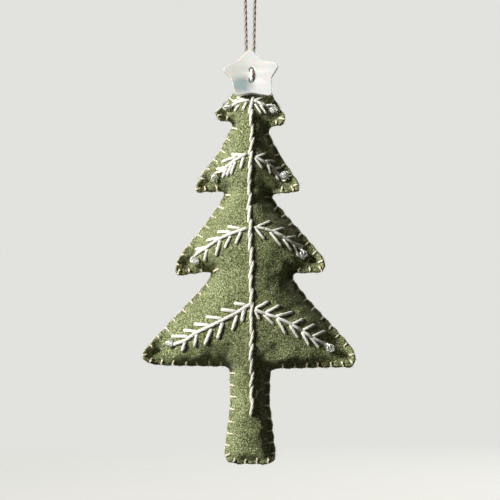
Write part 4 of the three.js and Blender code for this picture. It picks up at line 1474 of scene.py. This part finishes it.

# %% [markdown]
# ### Glass and shell
# The beads are clear glass with a little milk in it and a bright gloss. Mother-of-pearl is layered, so
# its colour drifts between white and a faint rose in soft bands under a polished surface. Shade is
# painted into the star's colour: a greyer white towards its left, and a bluish-grey painted shade at its
# lower left.

# %% Bead and shell finishes
bead_finish, tree, sockets = finish("milky_glass")
milk = noise(tree, object_place(tree), 900.0)["Fac"]
milky, bright = linear(240, 243, 241), linear(254, 254, 252)
feed(tree, sockets, {
    "Base Color": mixed(tree, spread(tree, milk, 0.35, 0.65), milky, bright),
    "Roughness": spread(tree, milk, 0.25, 10.0),
    "Transmission Weight": 0.8, "IOR": 1.5, "Coat Weight": 1.0,
})

# The first and the last of these colours are painted shade, not colours of the shell.
SHELL_PAINTED_SHADE = linear(200, 201, 195)
SHELL_WHITE = linear(235, 237, 236)
SHELL_ROSE = linear(230, 222, 213)
SHELL_PAINTED_POOL = linear(146, 162, 163)
PAINTED_POOL_MIDDLE = (-0.0024, -0.006, -0.0278)
PAINTED_POOL_SIZE = (0.0042, 0.02, 0.0034)

shell_finish, tree, sockets = finish("mother_of_pearl")
spot = object_place(tree)
broad = noise(tree, spot, 95.0, Distortion=0.8)["Fac"]
drift = noise(tree, spot, 170.0, 3.0, Distortion=1.2)["Fac"]
layers = noise(tree, grained(tree, spot, 35, (260, 260, 1500)), 1.0, 3.0, Distortion=0.6)["Fac"]
# Painted shade: the face turns a greyer white towards the left, along an edge that the broad noise makes
# waver.
painted_shade_across = add(tree, "ShaderNodeSeparateXYZ", {0: spot}).outputs["X"]
painted_shade_across = sums(tree, "ADD", painted_shade_across, sums(tree, "MULTIPLY", broad, 0.006))
colour = mixed(tree, spread(tree, painted_shade_across, -0.001, 0.006), SHELL_PAINTED_SHADE, SHELL_WHITE)
colour = mixed(tree, spread(tree, drift, 0.55, 0.8), colour, SHELL_ROSE)
# Painted shade: a bluish-grey pool at the lower left of the face, broken up by the drift noise.
values = {"Vector": spot, "Location": PAINTED_POOL_MIDDLE, "Scale": PAINTED_POOL_SIZE}
painted_shade_place = add(tree, "ShaderNodeMapping", values, vector_type="TEXTURE").outputs[0]
painted_shade_pool = add(tree, "ShaderNodeTexGradient", {"Vector": painted_shade_place}, gradient_type="SPHERICAL").outputs["Fac"]
painted_shade_share = sums(tree, "MULTIPLY", painted_shade_pool, spread(tree, drift, 0.25, 0.6))
colour = mixed(tree, spread(tree, painted_shade_share, 0.05, 0.6), colour, SHELL_PAINTED_POOL)
streak = mixed(tree, spread(tree, layers, 0.35, 0.65), linear(250, 250, 250), WHITE)
feed(tree, sockets, {
    "Base Color": mixed(tree, 1.0, colour, streak, "MULTIPLY"),
    "Roughness": spread(tree, layers, -0.6, 3.0), "Coat Weight": 0.5, "Coat Roughness": 0.12,
    "Subsurface Weight": 0.35, "Subsurface Scale": 0.0015,
    "Normal": bump(tree, layers, 0.12, 0.00004),
})
print("finishes:", sorted(m.name for m in bpy.data.materials if m.use_nodes and m.users))

# %% [markdown]
# ## Which body carries what
# Everything sewn to the felt rides with the tree, and the star rides on its own body, which turns a
# little on its thread. Each new piece gets its finish, and the solids that it stands for are hidden. The
# cord and its ends keep their places and ride with no body.


# %% Ride and declare
def paint(piece, material):
    piece.data.materials.clear()
    piece.data.materials.append(material)


def dress(piece, material, slot, *nodes):
    paint(piece, material)
    if nodes:
        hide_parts(*nodes)
    return piece


def carried(piece, material, slot, *nodes, body="tree"):
    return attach(dress(piece, material, slot, *nodes), body)


carried(front_panel, felt_finish, "felt", "front_felt")
carried(back_panel, felt_finish, "felt", "back_felt")
carried(front_wool, wool_finish, "felt")
carried(back_wool, wool_finish, "felt")
carried(wad, wad_finish, "filling", "stuffing")
carried(edge_sewing, edge_finish, "edge_thread", "blanket_stitch")
carried(stem_line, floss_finish, "floss", "stem_stitch")
for name in SPRIGS:
    carried(sprig_pieces[name], floss_finish, "floss", "sprig_" + name)
    carried(bead_pieces[name], bead_finish, "glass_bead", "bead_" + name)
carried(button_sewing, floss_finish, "floss", "button_thread")
carried(star, shell_finish, "shell", "star_button", body="star")
paint(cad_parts["loop_knot"], twine_finish)

dress(hanging_cord, twine_finish, "twine", "hanging_loop", "strand_left", "strand_right")
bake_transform(hanging_cord)
for tail in cord_tails:
    dress(tail, twine_finish, "twine")
    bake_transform(tail)

# %% [markdown]
# ## Floor and light
# The ornament hangs over a pale floor that fades into a pale background. One soft light stands high on
# the left and nearly beside the ornament, so that every ridge and stitch shows, a weaker one stands
# behind it on the right, and warm surroundings fill the shadows. The pale background shows to the
# camera and in what gleams or is clear, and neither it nor the floor throws light on the felt.

# %% Studio
FLOOR_DROP = 0.045
FLOOR_RADIUS = 3
FLOOR_SIDES = 96
FLOOR_SPECK = 60.0
FLOOR_FADE = (0.25, 0.75)
BACKGROUND = linear(226, 226, 222)
FILL_COLOUR = (1.0, 0.92, 0.74, 1)
FILL_LIGHT = 0.055

deselect()
bpy.ops.mesh.primitive_circle_add(
    vertices=FLOOR_SIDES, radius=FLOOR_RADIUS, fill_type="NGON", location=(0, 0, GROUND - FLOOR_DROP)
)
floor = bpy.context.object
floor.name = "floor"
floor_finish, tree, sockets = finish("pale_floor")
spot = object_place(tree)
reach = add(tree, "ShaderNodeVectorMath", {0: spot}, operation="LENGTH").outputs["Value"]
speck = noise(tree, spot, FLOOR_SPECK)["Fac"]
feed(tree, sockets, {
    "Base Color": mixed(tree, speck, linear(222, 222, 218), linear(228, 228, 224)), "Roughness": 0.9,
})
bounced = add(tree, "ShaderNodeLightPath").outputs["Is Diffuse Ray"]
faded = sums(tree, "MAXIMUM", spread(tree, reach, *FLOOR_FADE), bounced)
solid = tree.nodes["Principled BSDF"].outputs[0]
clear = add(tree, "ShaderNodeBsdfTransparent").outputs[0]
fader = add(tree, "ShaderNodeMixShader", {0: faded, 1: solid, 2: clear}).outputs[0]
feed(tree, tree.nodes["Material Output"].inputs, {"Surface": fader})
paint(floor, floor_finish)

world = bpy.data.worlds.new("studio")
scene.world = world
world.use_nodes = True
tree = world.node_tree
tree.nodes.clear()
rays = add(tree, "ShaderNodeLightPath").outputs
seen = sums(tree, "MAXIMUM", rays["Is Camera Ray"], rays["Is Glossy Ray"])
seen = sums(tree, "MAXIMUM", seen, rays["Is Transmission Ray"])
around = add(tree, "ShaderNodeBackground", {"Color": FILL_COLOUR, "Strength": FILL_LIGHT}).outputs[0]
shown = add(tree, "ShaderNodeBackground", {"Color": BACKGROUND, "Strength": 1.0}).outputs[0]
choose = add(tree, "ShaderNodeMixShader", {0: seen, 1: around, 2: shown}).outputs[0]
add(tree, "ShaderNodeOutputWorld", {"Surface": choose})


def soft_light(name, offset, size, power, colour):
    """A square soft light at an offset from the middle of the tree, turned towards it."""
    data = bpy.data.lights.new(name, "AREA")
    data.size = size
    data.energy = power
    data.color = colour
    lamp = new_object(name, data)
    middle = Vector((0, 0, GROUND + PICTURE_MIDDLE_HEIGHT * MM))
    lamp.location = middle + Vector(offset)
    lamp.rotation_euler = (-Vector(offset)).to_track_quat("-Z", "Y").to_euler()


soft_light("key", (-0.72, -0.485, 0.4), size=0.25, power=17.0, colour=(1.0, 0.99, 0.965))
soft_light("back", (0.43, 0.82, 0.37), size=0.6, power=7.2, colour=(1.0, 0.985, 0.95))
scene.view_settings.view_transform = "Standard"
